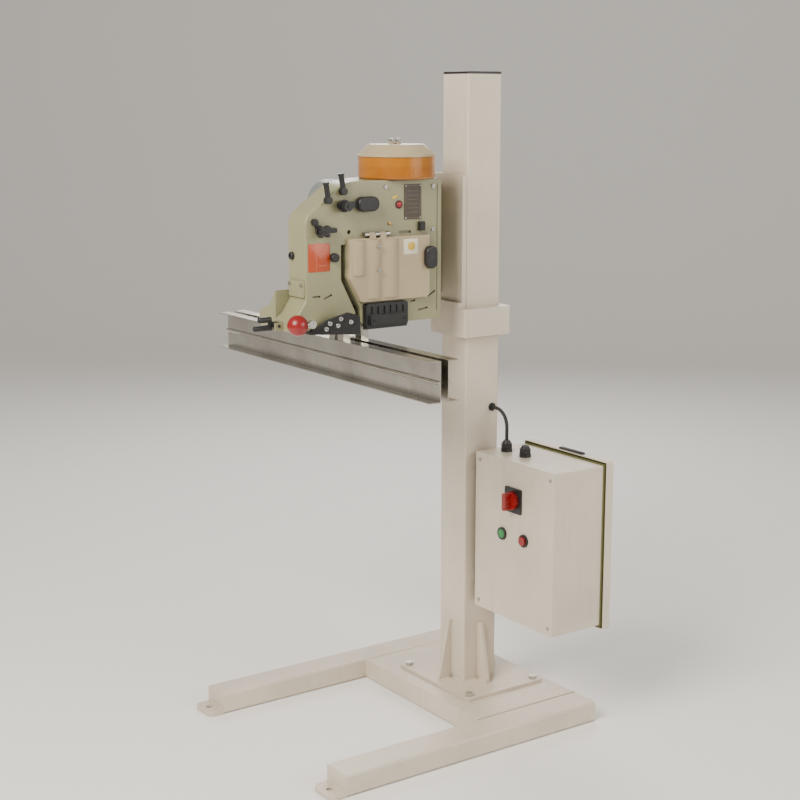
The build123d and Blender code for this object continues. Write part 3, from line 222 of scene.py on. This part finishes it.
def metal(name, color, rough=0.3, lines=(1.0, 1.0, 60.0), tint=None, scratch=0.35):
    """Bare metal with directional grinding lines, smudges, faint scratches and painted shade in corners."""
    t = Tree(name)
    grain = t.noise(60.0, 6.0, 0.7, lines)
    smear = t.noise(11.0, 5.0, 0.6)
    base = t.mix(t.remap(smear, 0.4, 0.72), color, scaled(color, 0.72))
    if tint:
        base = t.mix(t.remap(t.noise(23.0, 5.0, 0.7), 0.55, 0.72, 0.0, 0.5), base, tint)
    # painted shade: occlusion darkens the corners of bare metal
    painted_shade = t.math("MULTIPLY", t.corner_shade(0.012), 0.55)
    base = t.mix(painted_shade, base, METAL_SHADE)
    t.set(Base_Color=base, Metallic=1.0)
    ground = t.remap(grain, 0.3, 0.7, rough - 0.09, rough + 0.10)
    t.set(Roughness=t.math("ADD", ground, t.remap(smear, 0.4, 0.7, 0.0, 0.125)))
    t.bump(grain, scratch, 0.00012, 0.0005)
    return t.mat


def plastic(name, color, rough=0.4, grain=900.0, strength=0.12, coat=0.0):
    """Moulded plastic: fine grain, rubbed edges and a little dust."""
    t = Tree(name)
    cloud = t.noise(18.0, 4.0, 0.6)
    dark = max(color) < 0.1
    base = t.mix(t.remap(cloud, 0.35, 0.7), color, scaled(color, 1.6 if dark else 0.82))
    rub = t.math("MULTIPLY", t.edge_mask(0.0008), 0.35)
    base = t.mix(rub, base, tuple(min(1.0, c * 1.3 + 0.10) for c in color))
    dust = t.remap(t.noise(70.0, 6.0, 0.7), 0.58, 0.72, 0.0, 0.10)
    base = t.mix(dust, base, DUST)
    t.set(Base_Color=base, Coat_Weight=coat, Coat_Roughness=0.12)
    t.set(Roughness=t.remap(cloud, 0.3, 0.7, rough - 0.08, rough + 0.12))
    t.bump(t.noise(grain, 2.0, 0.5), strength, 0.0002, 0.0006)
    return t.mat


# height of the oil above the tank's floor, and the band in which its colour changes
OIL_DEPTH = 0.034
OIL_BLEND = 0.003


def amber(name):
    """Amber tank moulding: coloured body light, darker where the oil stands, glossy skin."""
    t = Tree(name)
    oil_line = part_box("oil_tank")[0][2] + OIL_DEPTH
    split = t.add("ShaderNodeSeparateXYZ")
    t.link(t.coords, split.inputs[0])
    ripple = t.math("MULTIPLY", t.noise(14.0, 3.0, 0.5), 0.006)
    height = t.math("ADD", split.outputs["Z"], ripple)
    oil = t.remap(height, oil_line, oil_line - OIL_BLEND)
    cloud = t.noise(26.0, 5.0, 0.6)
    base = t.mix(oil, (0.40, 0.135, 0.0022), (0.36, 0.112, 0.0018))
    base = t.mix(t.remap(cloud, 0.4, 0.7, 0.0, 0.4), base, (0.46, 0.175, 0.004))
    t.set(Base_Color=base, Transmission_Weight=0.04, IOR=1.5, Coat_Weight=0.5, Coat_Roughness=0.08)
    t.set(Subsurface_Weight=0.02, Subsurface_Scale=0.004)
    t.shader.inputs["Subsurface Radius"].default_value = (1.0, 0.45, 0.10)
    t.set(Roughness=t.remap(cloud, 0.3, 0.7, 0.16, 0.30))
    t.bump(t.noise(60.0, 3.0, 0.5), 0.12, 0.0006, 0.0010)
    return t.mat


def sticker(name, color, rough=0.35):
    """Printed film with slight creasing and a faint mottled tone."""
    t = Tree(name)
    cloud = t.noise(45.0, 5.0, 0.6)
    base = t.mix(t.remap(cloud, 0.42, 0.7, 0.0, 0.5), color, scaled(color, 0.7))
    t.set(Base_Color=base, Coat_Weight=0.3, Coat_Roughness=0.2)
    t.set(Roughness=t.remap(cloud, 0.3, 0.7, rough, rough + 0.2))
    t.bump(t.noise(130.0, 3.0, 0.5), 0.2, 0.0003)
    return t.mat


# each finish below also sets how strong the painted shade in its corners is
WHITE = paint("white_powder_coat", srgb(210, 198, 180), rough=0.40, peel=520.0, wear=0.45, painted_shade=0.5,
              coat=0.2)
CREAM = paint("cream_enamel", srgb(146, 144, 110), rough=0.36, peel=300.0, wear=0.5, painted_shade=0.65,
              coat=0.35, edge=0.0014)
CREAM_PALE = paint("pale_cream_enamel", srgb(176, 160, 128), rough=0.36, peel=300.0, wear=0.5,
                   painted_shade=0.55, coat=0.35)
BLACK_STEEL = paint("black_oxide", (0.012, 0.012, 0.013), rough=0.42, peel=700.0, wear=0.9, painted_shade=0.2,
                    coat=0.1, bare=(0.28, 0.27, 0.26))
MOTOR = paint("motor_enamel", srgb(120, 126, 124), rough=0.45, peel=380.0, wear=0.6, painted_shade=0.7)
GROUND = metal("ground_steel", (0.50, 0.49, 0.47), rough=0.26, lines=(1.0, 40.0, 1.0))
STAINLESS = metal("brushed_stainless", (0.62, 0.59, 0.53), rough=0.20, lines=(90.0, 1.0, 90.0),
                  tint=(0.50, 0.42, 0.34))
ZINC = metal("zinc_plate", (0.66, 0.65, 0.60), rough=0.34, tint=(0.52, 0.50, 0.36))
BRONZE = metal("sintered_bronze", (0.56, 0.38, 0.18), rough=0.42)
CHROME = metal("polished_needle", (0.78, 0.78, 0.79), rough=0.12, scratch=0.1)
BLACK = plastic("black_moulding", (0.010, 0.010, 0.011), rough=0.42)
GREY = plastic("grey_moulding", srgb(150, 152, 148), rough=0.5)
RED = plastic("red_ball", srgb(142, 10, 14), rough=0.30, strength=0.05, coat=0.3)
GREEN = plastic("green_button", srgb(24, 130, 62), rough=0.3, coat=0.3)
RUBBER = plastic("rubber", (0.016, 0.016, 0.016), rough=0.65, grain=1400.0, strength=0.3)
DARK_PLATE = sticker("dark_plate", srgb(58, 48, 36), rough=0.32)
PLATE_LINES = sticker("plate_lines", srgb(104, 90, 64), rough=0.35)
OLIVE = plastic("olive_seal", srgb(96, 98, 52), rough=0.6)
AMBER = amber("amber_tank")
ORANGE_FILM = sticker("orange_film", (0.42, 0.052, 0.006))
RULE_FILM = sticker("rule_film", (0.52, 0.14, 0.06))
WHITE_FILM = sticker("white_film", srgb(214, 208, 186))
YELLOW_FILM = sticker("yellow_film", srgb(206, 172, 52))
MACHINE_RED = plastic("red_paint", srgb(150, 30, 40), rough=0.35)

SLOT_MATERIAL = {
    "white_enamel": WHITE, "head_enamel": CREAM, "black_steel": BLACK_STEEL, "bright_steel": GROUND,
    "stainless": STAINLESS, "zinc": ZINC, "bronze": BRONZE, "motor_grey": MOTOR, "black_plastic": BLACK,
    "grey_plastic": GREY, "red_plastic": RED, "green_plastic": GREEN, "amber_tank": AMBER,
    "rubber": RUBBER, "needle_chrome": CHROME, "plate_dark": DARK_PLATE,
}
NODE_MATERIAL = {"oil_tank_lid": CREAM_PALE, "front_cover": CREAM_PALE, "door_seal": OLIVE}
slot_of = {part["node"]: part["material_slot"] for part in frame["record"]["subparts"]}
for node, obj in frame["nodes"].items():
    chosen = NODE_MATERIAL.get(node, SLOT_MATERIAL[slot_of[node]])
    if not obj.material_slots:
        obj.data.materials.append(chosen)
    for material_slot in obj.material_slots:
        material_slot.material = chosen


# ---------------------------------------------------------------- mesh helpers
SHARP_ANGLE = 0.6
# points round a screw head, and how far its underside sits in the face below it
SCREW_POINTS = 24
SINK = 0.0004


def make(name, bm, body, material):
    """Turns the mesh into an object that rides on a body, smooth but for its sharp edges."""
    mesh = bpy.data.meshes.new(name)
    bm.normal_update()
    bm.to_mesh(mesh)
    bm.free()
    obj = bpy.data.objects.new(name, mesh)
    bpy.context.scene.collection.objects.link(obj)
    mesh.materials.append(material)
    for poly in mesh.polygons:
        poly.use_smooth = True
    mesh.set_sharp_from_angle(angle=SHARP_ANGLE)
    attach(obj, body)


def axis_matrix(position, axis):
    """Places local +Z along the axis, at the position."""
    turn = Vector((0, 0, 1)).rotation_difference(Vector(axis)).to_matrix().to_4x4()
    return Matrix.Translation(Vector(position)) @ turn


def ring_points(radius, count, height, sides=0):
    """A ring of points; with sides, the ring follows a regular polygon of that apothem."""
    points = []
    for k in range(count):
        a = 2 * math.pi * k / count
        r = radius
        if sides:
            step = 2 * math.pi / sides
            r = radius / math.cos((a % step) - step / 2)
        points.append(Vector((r * math.cos(a), r * math.sin(a), height)))
    return points


def add_rings(bm, rings, matrix):
    """Skins consecutive rings and closes both ends."""
    rows = [[bm.verts.new(matrix @ p) for p in ring] for ring in rings]
    for low, high in zip(rows, rows[1:]):
        n = len(low)
        for k in range(n):
            bm.faces.new((low[k], low[(k + 1) % n], high[(k + 1) % n], high[k]))
    bm.faces.new(list(reversed(rows[0])))
    bm.faces.new(rows[-1])


def turned(profile, count):
    """Rings of a turned part from its (radius, height) pairs."""
    return [ring_points(radius, count, height) for radius, height in profile]


def add_socket_screw(bm, position, axis, radius, height):
    """Button-head screw with a hexagon socket, seated on a surface."""
    rings = turned(((radius, -SINK), (radius, height * 0.45), (radius * 0.93, height * 0.80),
                    (radius * 0.78, height)), SCREW_POINTS)
    rings += [ring_points(radius * 0.44, SCREW_POINTS, height, 6),
              ring_points(radius * 0.42, SCREW_POINTS, height * 0.3, 6)]
    add_rings(bm, rings, axis_matrix(position, axis))


def add_slot_screw(bm, position, axis, radius, height, angle):
    """Cheese-head screw with a driver slot cut as two raised halves."""
    matrix = axis_matrix(position, axis) @ Matrix.Rotation(angle, 4, "Z")
    add_rings(bm, turned(((radius, -SINK), (radius, height * 0.55)), SCREW_POINTS), matrix)
    gap = radius * 0.16
    for side in (1, -1):
        base, top = [], []
        for k in range(13):
            a = math.acos(gap / radius) * (1 - k / 6.0)
            point = Vector((radius * math.cos(a) * side, radius * math.sin(a) * side, 0))
            base.append(point + Vector((0, 0, height * 0.5)))
            top.append(Vector((point.x * 0.95 + gap * 0.05 * side, point.y * 0.95, height)))
        add_rings(bm, [base, top], matrix)


def screws(name, body, spots, axis, radius, height, material=GROUND, slotted=False):
    """One mesh with a screw head on every spot."""
    bm = bmesh.new()
    for spot in spots:
        if slotted:
            add_slot_screw(bm, spot, axis, radius, height, random.uniform(0, math.pi))
        else:
            add_socket_screw(bm, spot, axis, radius, height)
    make(name, bm, body, material)


# distance between the ripples of a weld bead, and points round its section
BEAD_STEP = 0.0022
BEAD_POINTS = 8


def add_bead(bm, start, end, out, width):
    """Weld bead along a seam: a low rippled ridge between two faces that meet at `out`."""
    start, end, out = Vector(start), Vector(end), Vector(out).normalized()
    along = (end - start).normalized()
    side = along.cross(out)
    length = (end - start).length
    count = max(8, int(length / BEAD_STEP))
    rings = []
    for k in range(count + 1):
        ripple = 1.0 + 0.16 * math.sin(k * 2.1) + random.uniform(-0.07, 0.07)
        fade = min(1.0, (k + 0.4) / 2.0, (count - k + 0.4) / 2.0)
        r = width * ripple * (0.35 + 0.65 * fade)
        centre = start + along * (length * k / count)
        ring = []
        for j in range(BEAD_POINTS):
            a = 2 * math.pi * j / BEAD_POINTS
            ring.append(centre + side * (r * math.cos(a)) + out * (r * math.sin(a) * 0.7))
        rings.append(ring)
    add_rings(bm, rings, Matrix.Identity(4))


def add_plate(bm, centre, right, up, width, height, thick, radius):
    """Thin film or plate with rounded corners, its normal along right x up."""
    right, up = Vector(right), Vector(up)
    normal = right.cross(up)
    outline = []
    for cx, cy, start in ((1, 1, 0), (-1, 1, 90), (-1, -1, 180), (1, -1, 270)):
        for k in range(5):
            a = math.radians(start + 22.5 * k)
            outline.append((cx * (width / 2 - radius) + radius * math.cos(a),
                            cy * (height / 2 - radius) + radius * math.sin(a)))
    rings = []
    for level, inset in ((-0.0002, 0.0), (thick * 0.7, 0.0), (thick, thick * 0.5)):
        ring = []
        for px, py in outline:
            shrink = 1 - 2 * inset / max(width, height)
            point = Vector(centre) + right * px * shrink + up * py * shrink
            ring.append(point + normal * level)
        rings.append(ring)
    add_rings(bm, rings, Matrix.Identity(4))


def coil(name, centre, radius, wire, y_from, y_to, turns, body, grow):
    """Round-wire spring along Y, its radius growing from one end to the other."""
    count = int(turns * 20)
    bm = bmesh.new()
    rings = []
    for k in range(count + 1):
        u = k / count
        a = 2 * math.pi * turns * u
        r = radius + grow * u
        y = y_from + (y_to - y_from) * u
        middle = Vector((centre[0] + r * math.cos(a), y, centre[1] + r * math.sin(a)))
        out = Vector((math.cos(a), 0, math.sin(a)))
        ring = [middle + out * (wire * math.cos(b)) + Vector((0, wire * math.sin(b), 0))
                for b in (2 * math.pi * j / 8 for j in range(8))]
        rings.append(ring)
    add_rings(bm, rings, Matrix.Identity(4))
    make(name, bm, body, CHROME)


def corners(node):
    """Lowest and highest corner of a node's box."""
    low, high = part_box(node)
    return Vector(low), Vector(high)


FRONT = (0, -1, 0)
BACK = (0, 1, 0)
LEFT = (-1, 0, 0)
RIGHT = (1, 0, 0)
UP = (0, 0, 1)

# ---------------------------------------------------------------- base and column
DECK_SEAM_LOW = 0.004
EAR_LENGTH = 0.040
EAR_TOP = 0.0102
# distances of the column's welds from its axis
COLUMN_WELD = 0.0505
GUSSET_WELD = 0.0503
GUSSET_NEAR, GUSSET_TOE = 0.056, 0.086
# distances of the same welds from the middle of the column's side
GUSSET_HALF = 0.0045
COLUMN_WELD_START, COLUMN_WELD_END = 0.0055, 0.046
LIFT = 0.0005

bead_mesh = bmesh.new()
deck_low, deck_high = corners("cross_deck")
for y in (deck_low.y, deck_high.y):
    inward = 1 if y < 0 else -1
    add_bead(bead_mesh, (deck_low.x, y, deck_high.z), (deck_high.x, y, deck_high.z),
             (0, inward * 0.2, 1), 0.0030)
    for x, side in ((deck_low.x, -1), (deck_high.x, 1)):
        add_bead(bead_mesh, (x, y, DECK_SEAM_LOW), (x, y, deck_high.z), (side, inward, 0), 0.0028)
seam_z = corners("column")[0].z
gusset_top = corners("column_foot")[1].z
for sx, sy in ((1, 0), (-1, 0), (0, 1), (0, -1)):
    face = Vector((sx, sy, 0))
    tangent = Vector((-sy, sx, 0))
    for part in (-1, 1):
        a = face * COLUMN_WELD + tangent * (part * COLUMN_WELD_START)
        b = face * COLUMN_WELD + tangent * (part * COLUMN_WELD_END)
        add_bead(bead_mesh, (a.x, a.y, seam_z + LIFT), (b.x, b.y, seam_z + LIFT), (sx, sy, 1), 0.0030)
        up_from = face * GUSSET_WELD + tangent * (part * GUSSET_HALF)
        add_bead(bead_mesh, (up_from.x, up_from.y, seam_z + 0.006),
                 (up_from.x, up_from.y, gusset_top - 0.003), face + tangent * part, 0.0026)
        toe = face * GUSSET_TOE + tangent * (part * GUSSET_HALF)
        near = face * GUSSET_NEAR + tangent * (part * GUSSET_HALF)
        add_bead(bead_mesh, (near.x, near.y, seam_z + LIFT), (toe.x, toe.y, seam_z + LIFT),
                 tangent * part + Vector(UP), 0.0026)
make("base_weld_beads", bead_mesh, "stand", WHITE)

ear_beads = bmesh.new()
for rail in ("foot_rail_infeed", "foot_rail_outfeed"):
    low, high = corners(rail)
    seam_x = low.x + EAR_LENGTH
    add_bead(ear_beads, (seam_x, low.y + 0.006, EAR_TOP), (seam_x, high.y - 0.006, EAR_TOP), (-1, 0, 1),
             0.0028)
make("ear_weld_beads", ear_beads, "stand", WHITE)

# ---------------------------------------------------------------- control box
shell_x = corners("control_box_shell")[0].x
BOX_SCREW_Y = (-0.340, -0.080)
BOX_SCREW_Z = (0.280, 0.634)
spots = [(shell_x, y, z) for y in BOX_SCREW_Y for z in BOX_SCREW_Z]
screws("box_corner_screws", "stand", spots, LEFT, 0.0042, 0.0026, ZINC, slotted=True)
# a bead below and above each rail that carries the box
RAIL_EDGES = ((0.320, -1), (0.360, 1), (0.560, -1), (0.600, 1))
RAIL_WELD_HALF, RAIL_WELD_Y = 0.018, -0.0502
bead_mesh = bmesh.new()
for z, up in RAIL_EDGES:
    add_bead(bead_mesh, (-RAIL_WELD_HALF, RAIL_WELD_Y, z), (RAIL_WELD_HALF, RAIL_WELD_Y, z),
             (0, -1, up), 0.0022)
make("rail_weld_beads", bead_mesh, "stand", WHITE)

# black rubber stop on the top of the door
door_low, door_high = corners("box_door")
bm = bmesh.new()
STOP_Y = -0.230
stop_x = (door_low.x + door_high.x) / 2
add_plate(bm, (stop_x, STOP_Y, door_high.z), BACK, LEFT, 0.085, 0.011, 0.004, 0.002)
make("door_top_stop", bm, "box_door", RUBBER)

# ---------------------------------------------------------------- sewing head trim
face_y = corners("head_casting")[0].y
HEAD_LEFT = -0.511
COVER_PROUD = 0.014
cover_face = face_y - COVER_PROUD

# orange film with one upright rule and two short level ones
FILM_THICK = 0.0006
FILM_Z = 1.1475
film_face = face_y - FILM_THICK
bm = bmesh.new()
add_plate(bm, (-0.4765, face_y, FILM_Z), RIGHT, UP, 0.056, 0.062, FILM_THICK, 0.003)
make("orange_sticker", bm, "carriage", ORANGE_FILM)
bm = bmesh.new()
add_plate(bm, (-0.4840, film_face, FILM_Z), RIGHT, UP, 0.0015, 0.055, 0.0003, 0.0006)
for z in (1.1630, 1.1300):
    add_plate(bm, (-0.4665, film_face, z), RIGHT, UP, 0.022, 0.0016, 0.0003, 0.0005)
make("orange_sticker_rules", bm, "carriage", RULE_FILM)

# white film with a round yellow patch on the front cover
bm = bmesh.new()
add_plate(bm, (-0.240, cover_face, 1.1610), RIGHT, UP, 0.040, 0.034, 0.0004, 0.002)
make("white_sticker", bm, "front_cover", WHITE_FILM)
bm = bmesh.new()
add_plate(bm, (-0.239, cover_face - 0.0004, 1.1620), RIGHT, UP, 0.020, 0.020, 0.0003, 0.009)
make("yellow_patch", bm, "front_cover", YELLOW_FILM)

# raised frame and blank raised bars of the dark nameplate
plate_low, plate_high = corners("nameplate")
mid = (plate_low + plate_high) / 2
bm = bmesh.new()
width, height = plate_high.x - plate_low.x, plate_high.z - plate_low.z
FRAME_INSET, FRAME_WIDE = 0.0035, 0.0012
BAR_COUNT, BAR_TOP, BAR_PITCH = 6, 0.024, 0.0095
reach_x = width / 2 - FRAME_INSET
reach_z = height / 2 - FRAME_INSET
for dz in (-1, 1):
    add_plate(bm, (mid.x, plate_low.y, mid.z + dz * reach_z), RIGHT, UP,
              width - 0.010, FRAME_WIDE, 0.0005, 0.0005)
for dx in (-1, 1):
    add_plate(bm, (mid.x + dx * reach_x, plate_low.y, mid.z), RIGHT, UP,
              FRAME_WIDE, height - 0.010, 0.0005, 0.0005)
for k in range(BAR_COUNT):
    z = mid.z + BAR_TOP - BAR_PITCH * k
    add_plate(bm, (mid.x, plate_low.y, z), RIGHT, UP, width - 0.018, 0.0010, 0.0003, 0.0004)
make("nameplate_frame", bm, "carriage", PLATE_LINES)
spots = [(mid.x + dx * reach_x, plate_low.y - 0.0002, mid.z + dz * reach_z)
         for dx in (-1, 1) for dz in (-1, 1)]
screws("nameplate_rivets", "carriage", spots, FRONT, 0.0017, 0.0010, ZINC)

# red push dot in a black collar
bm = bmesh.new()
DOT_X, DOT_Z = -0.264, 1.2555
push_dot_place = axis_matrix((DOT_X, face_y, DOT_Z), FRONT)
add_rings(bm, turned(((0.0092, -0.0003), (0.0092, 0.0022), (0.0080, 0.0030), (0.0070, 0.0022)), 28),
          push_dot_place)
make("push_dot_collar", bm, "carriage", BLACK)
bm = bmesh.new()
add_rings(bm, turned(((0.0069, 0.0004), (0.0069, 0.0036), (0.0060, 0.0050), (0.0040, 0.0058),
                      (0.0015, 0.0061)), 28), push_dot_place)
make("push_dot", bm, "carriage", MACHINE_RED)

# yellow index mark above the dot, and the black thread eyelet on the narrow side
bm = bmesh.new()
add_plate(bm, (-0.274, face_y, 1.2725), (0.94, 0, 0.34), (-0.34, 0, 0.94), 0.015, 0.006, 0.0005, 0.002)
make("index_mark", bm, "carriage", YELLOW_FILM)
bm = bmesh.new()
add_rings(bm, turned(((0.0085, -SINK), (0.0085, 0.005), (0.0070, 0.007), (0.0035, 0.007),
                      (0.0032, 0.002)), 24), axis_matrix((HEAD_LEFT, -0.020, 1.150), LEFT))
make("side_thread_eyelet", bm, "carriage", BLACK)

# screws that hold the covers and plates
PAD_X, PAD_PROUD = -0.332, 0.007
spots = [(PAD_X, cover_face - PAD_PROUD, z) for z in (1.114, 1.166)]
screws("cover_pad_screws", "front_cover", spots, FRONT, 0.0040, 0.0022, slotted=True)
spots = [(x, face_y, z) for x, z in ((-0.169, 1.294), (-0.300, 1.296), (-0.169, 1.196))]
screws("casting_face_screws", "carriage", spots, FRONT, 0.0048, 0.0030, slotted=True)

# five screws in the shoe plate, given by distance along it and height
SHOE_START = (-0.506, -0.079)
SHOE_TURN = -29.0
SHOE_SCREWS = ((0.046, 1.005), (0.070, 1.015), (0.038, 0.993), (0.064, 1.000), (0.092, 1.008))
SEAT = 0.002
shoe_turn = math.radians(SHOE_TURN)
shoe_along = (math.cos(shoe_turn), math.sin(shoe_turn))
shoe_axis = (math.sin(shoe_turn), -math.cos(shoe_turn), 0)
spots = []
for along, z in SHOE_SCREWS:
    spots.append((SHOE_START[0] + along * shoe_along[0] + SEAT * shoe_axis[0],
                  SHOE_START[1] + along * shoe_along[1] + SEAT * shoe_axis[1], z))
screws("shoe_screws", "carriage", spots, shoe_axis, 0.0052, 0.0028, CHROME)

# guard, rear cover and side cover
guard_face = corners("feed_guard")[0].y
spots = [(x, guard_face, 1.001) for x in (-0.346, -0.264)]
screws("guard_screws", "carriage", spots, FRONT, 0.0034, 0.0022, BLACK_STEEL)
REAR_COVER_FACE = 0.0690
spots = [(x, REAR_COVER_FACE, z) for x in (-0.352, -0.155) for z in (1.000, 1.090, 1.180)]
spots += [(-0.334, REAR_COVER_FACE, 1.278), (-0.155, REAR_COVER_FACE, 1.294)]
screws("rear_cover_screws", "carriage", spots, BACK, 0.0052, 0.0030)
SIDE_COVER_FACE = -0.517
spots = [(SIDE_COVER_FACE, y, 1.089) for y in (-0.064, -0.015)]
screws("side_cover_screws", "carriage", spots, LEFT, 0.0036, 0.0024, slotted=True)

# coil spring behind the upper tension knob
TENSION_AT = (-0.419, 1.259)
coil("upper_tension_spring", TENSION_AT, 0.0085, 0.0006, face_y - 0.0172, face_y - 0.0196, 2.0,
     "carriage", -0.003)

# oil tank: caps of the filler and the breather
FITTING_X = (-0.246, -0.228)
TANK_Y = -0.020
fitting_top = corners("oil_tank_lid")[1].z
bm = bmesh.new()
for x in FITTING_X:
    rings = turned(((0.0055, -0.0005), (0.0060, 0.0), (0.0060, 0.0045), (0.0050, 0.0058),
                    (0.0030, 0.0064)), 28)
    add_rings(bm, rings, axis_matrix((x, TANK_Y, fitting_top), UP))
make("lid_fitting_caps", bm, "oil_tank_lid", GROUND)

# grease nipple on the housing: hexagon, neck and ball
bm = bmesh.new()
rings = [ring_points(0.0040, 18, -0.0003, 6), ring_points(0.0040, 18, 0.0030, 6)]
rings += turned(((0.0020, 0.0032), (0.0020, 0.0060), (0.0027, 0.0070), (0.0020, 0.0086),
                 (0.0008, 0.0094)), 18)
add_rings(bm, rings, axis_matrix((-0.290, face_y, 1.214), FRONT))
make("grease_nipple", bm, "carriage", BRONZE)

# ---------------------------------------------------------------- stage, light and camera
# seamless sweep: a floor strip across the view that curves up into a backdrop behind the object
VIEW_YAW = math.radians(45.27)
SWEEP_START, SWEEP_R, SWEEP_TOP = 5.0, 3.5, 12.0
SWEEP_NEAR, SWEEP_SIDE, SWEEP_STEPS = -9.0, 14.0, 24
floor_mesh = bpy.data.meshes.new("studio_floor")
bm = bmesh.new()
profile = [(SWEEP_NEAR, 0.0), (0.0, 0.0), (SWEEP_START, 0.0)]
for k in range(1, SWEEP_STEPS + 1):
    a = math.radians(90.0 * k / SWEEP_STEPS)
    profile.append((SWEEP_START + SWEEP_R * math.sin(a), SWEEP_R * (1 - math.cos(a))))
profile.append((SWEEP_START + SWEEP_R, SWEEP_TOP))
rows = []
for side in (-SWEEP_SIDE, SWEEP_SIDE):
    rows.append([bm.verts.new((u * math.cos(VIEW_YAW) + side * math.sin(VIEW_YAW),
                               u * math.sin(VIEW_YAW) - side * math.cos(VIEW_YAW), z)) for u, z in profile])
for k in range(len(profile) - 1):
    bm.faces.new((rows[0][k], rows[1][k], rows[1][k + 1], rows[0][k + 1]))
bm.normal_update()
bm.to_mesh(floor_mesh)
bm.free()
for poly in floor_mesh.polygons:
    poly.use_smooth = True
floor = bpy.data.objects.new("studio_floor", floor_mesh)
bpy.context.scene.collection.objects.link(floor)
floor.location.z = -0.0005
stage = Tree("studio_floor")
cloud = stage.noise(0.8, 3.0, 0.5)
stained = stage.mix(stage.remap(cloud, 0.4, 0.7, 0.0, 0.2), (0.90, 0.885, 0.86), (0.87, 0.855, 0.83))
stage.set(Base_Color=stained, Roughness=0.85)
floor_mesh.materials.append(stage.mat)
floor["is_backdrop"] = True

world = bpy.context.scene.world or bpy.data.worlds.new("studio")
bpy.context.scene.world = world
world.use_nodes = True
background = world.node_tree.nodes.get("Background")
background.inputs["Color"].default_value = (1.0, 0.965, 0.915, 1.0)
background.inputs["Strength"].default_value = 0.42


def area_light(name, place, target, size, power, color):
    """Rectangular soft light that faces its target."""
    data = bpy.data.lights.new(name, "AREA")
    data.shape = "RECTANGLE"
    data.size, data.size_y = size
    data.energy = power
    data.color = color
    light = bpy.data.objects.new(name, data)
    light.location = place
    light.rotation_euler = (Vector(target) - Vector(place)).to_track_quat("-Z", "Y").to_euler()
    bpy.context.scene.collection.objects.link(light)


AIM = (-0.215, -0.01, 0.79)
CAMERA_AT = (-2.223, -2.885, 1.489)
area_light("key", (-3.2, -1.0, 3.2), (-0.2, 0.0, 0.9), (2.0, 2.0), 230.0, (1.0, 0.94, 0.86))
area_light("fill", (1.6, -3.4, 2.2), (-0.2, 0.0, 0.8), (2.5, 2.0), 80.0, (1.0, 0.97, 0.90))
area_light("back", (1.8, 2.6, 2.8), (0.0, 0.0, 0.9), (2.0, 2.0), 70.0, (1.0, 0.96, 0.92))

camera_data = bpy.data.cameras.new("photo_view")
camera = bpy.data.objects.new("photo_view", camera_data)
bpy.context.scene.collection.objects.link(camera)
camera.location = CAMERA_AT
camera.rotation_euler = (Vector(AIM) - camera.location).to_track_quat("-Z", "Y").to_euler()
camera_data.sensor_width = 36.0
camera_data.lens = 68.0
camera_data.clip_end = 100.0
bpy.context.scene.camera = camera

low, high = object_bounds()
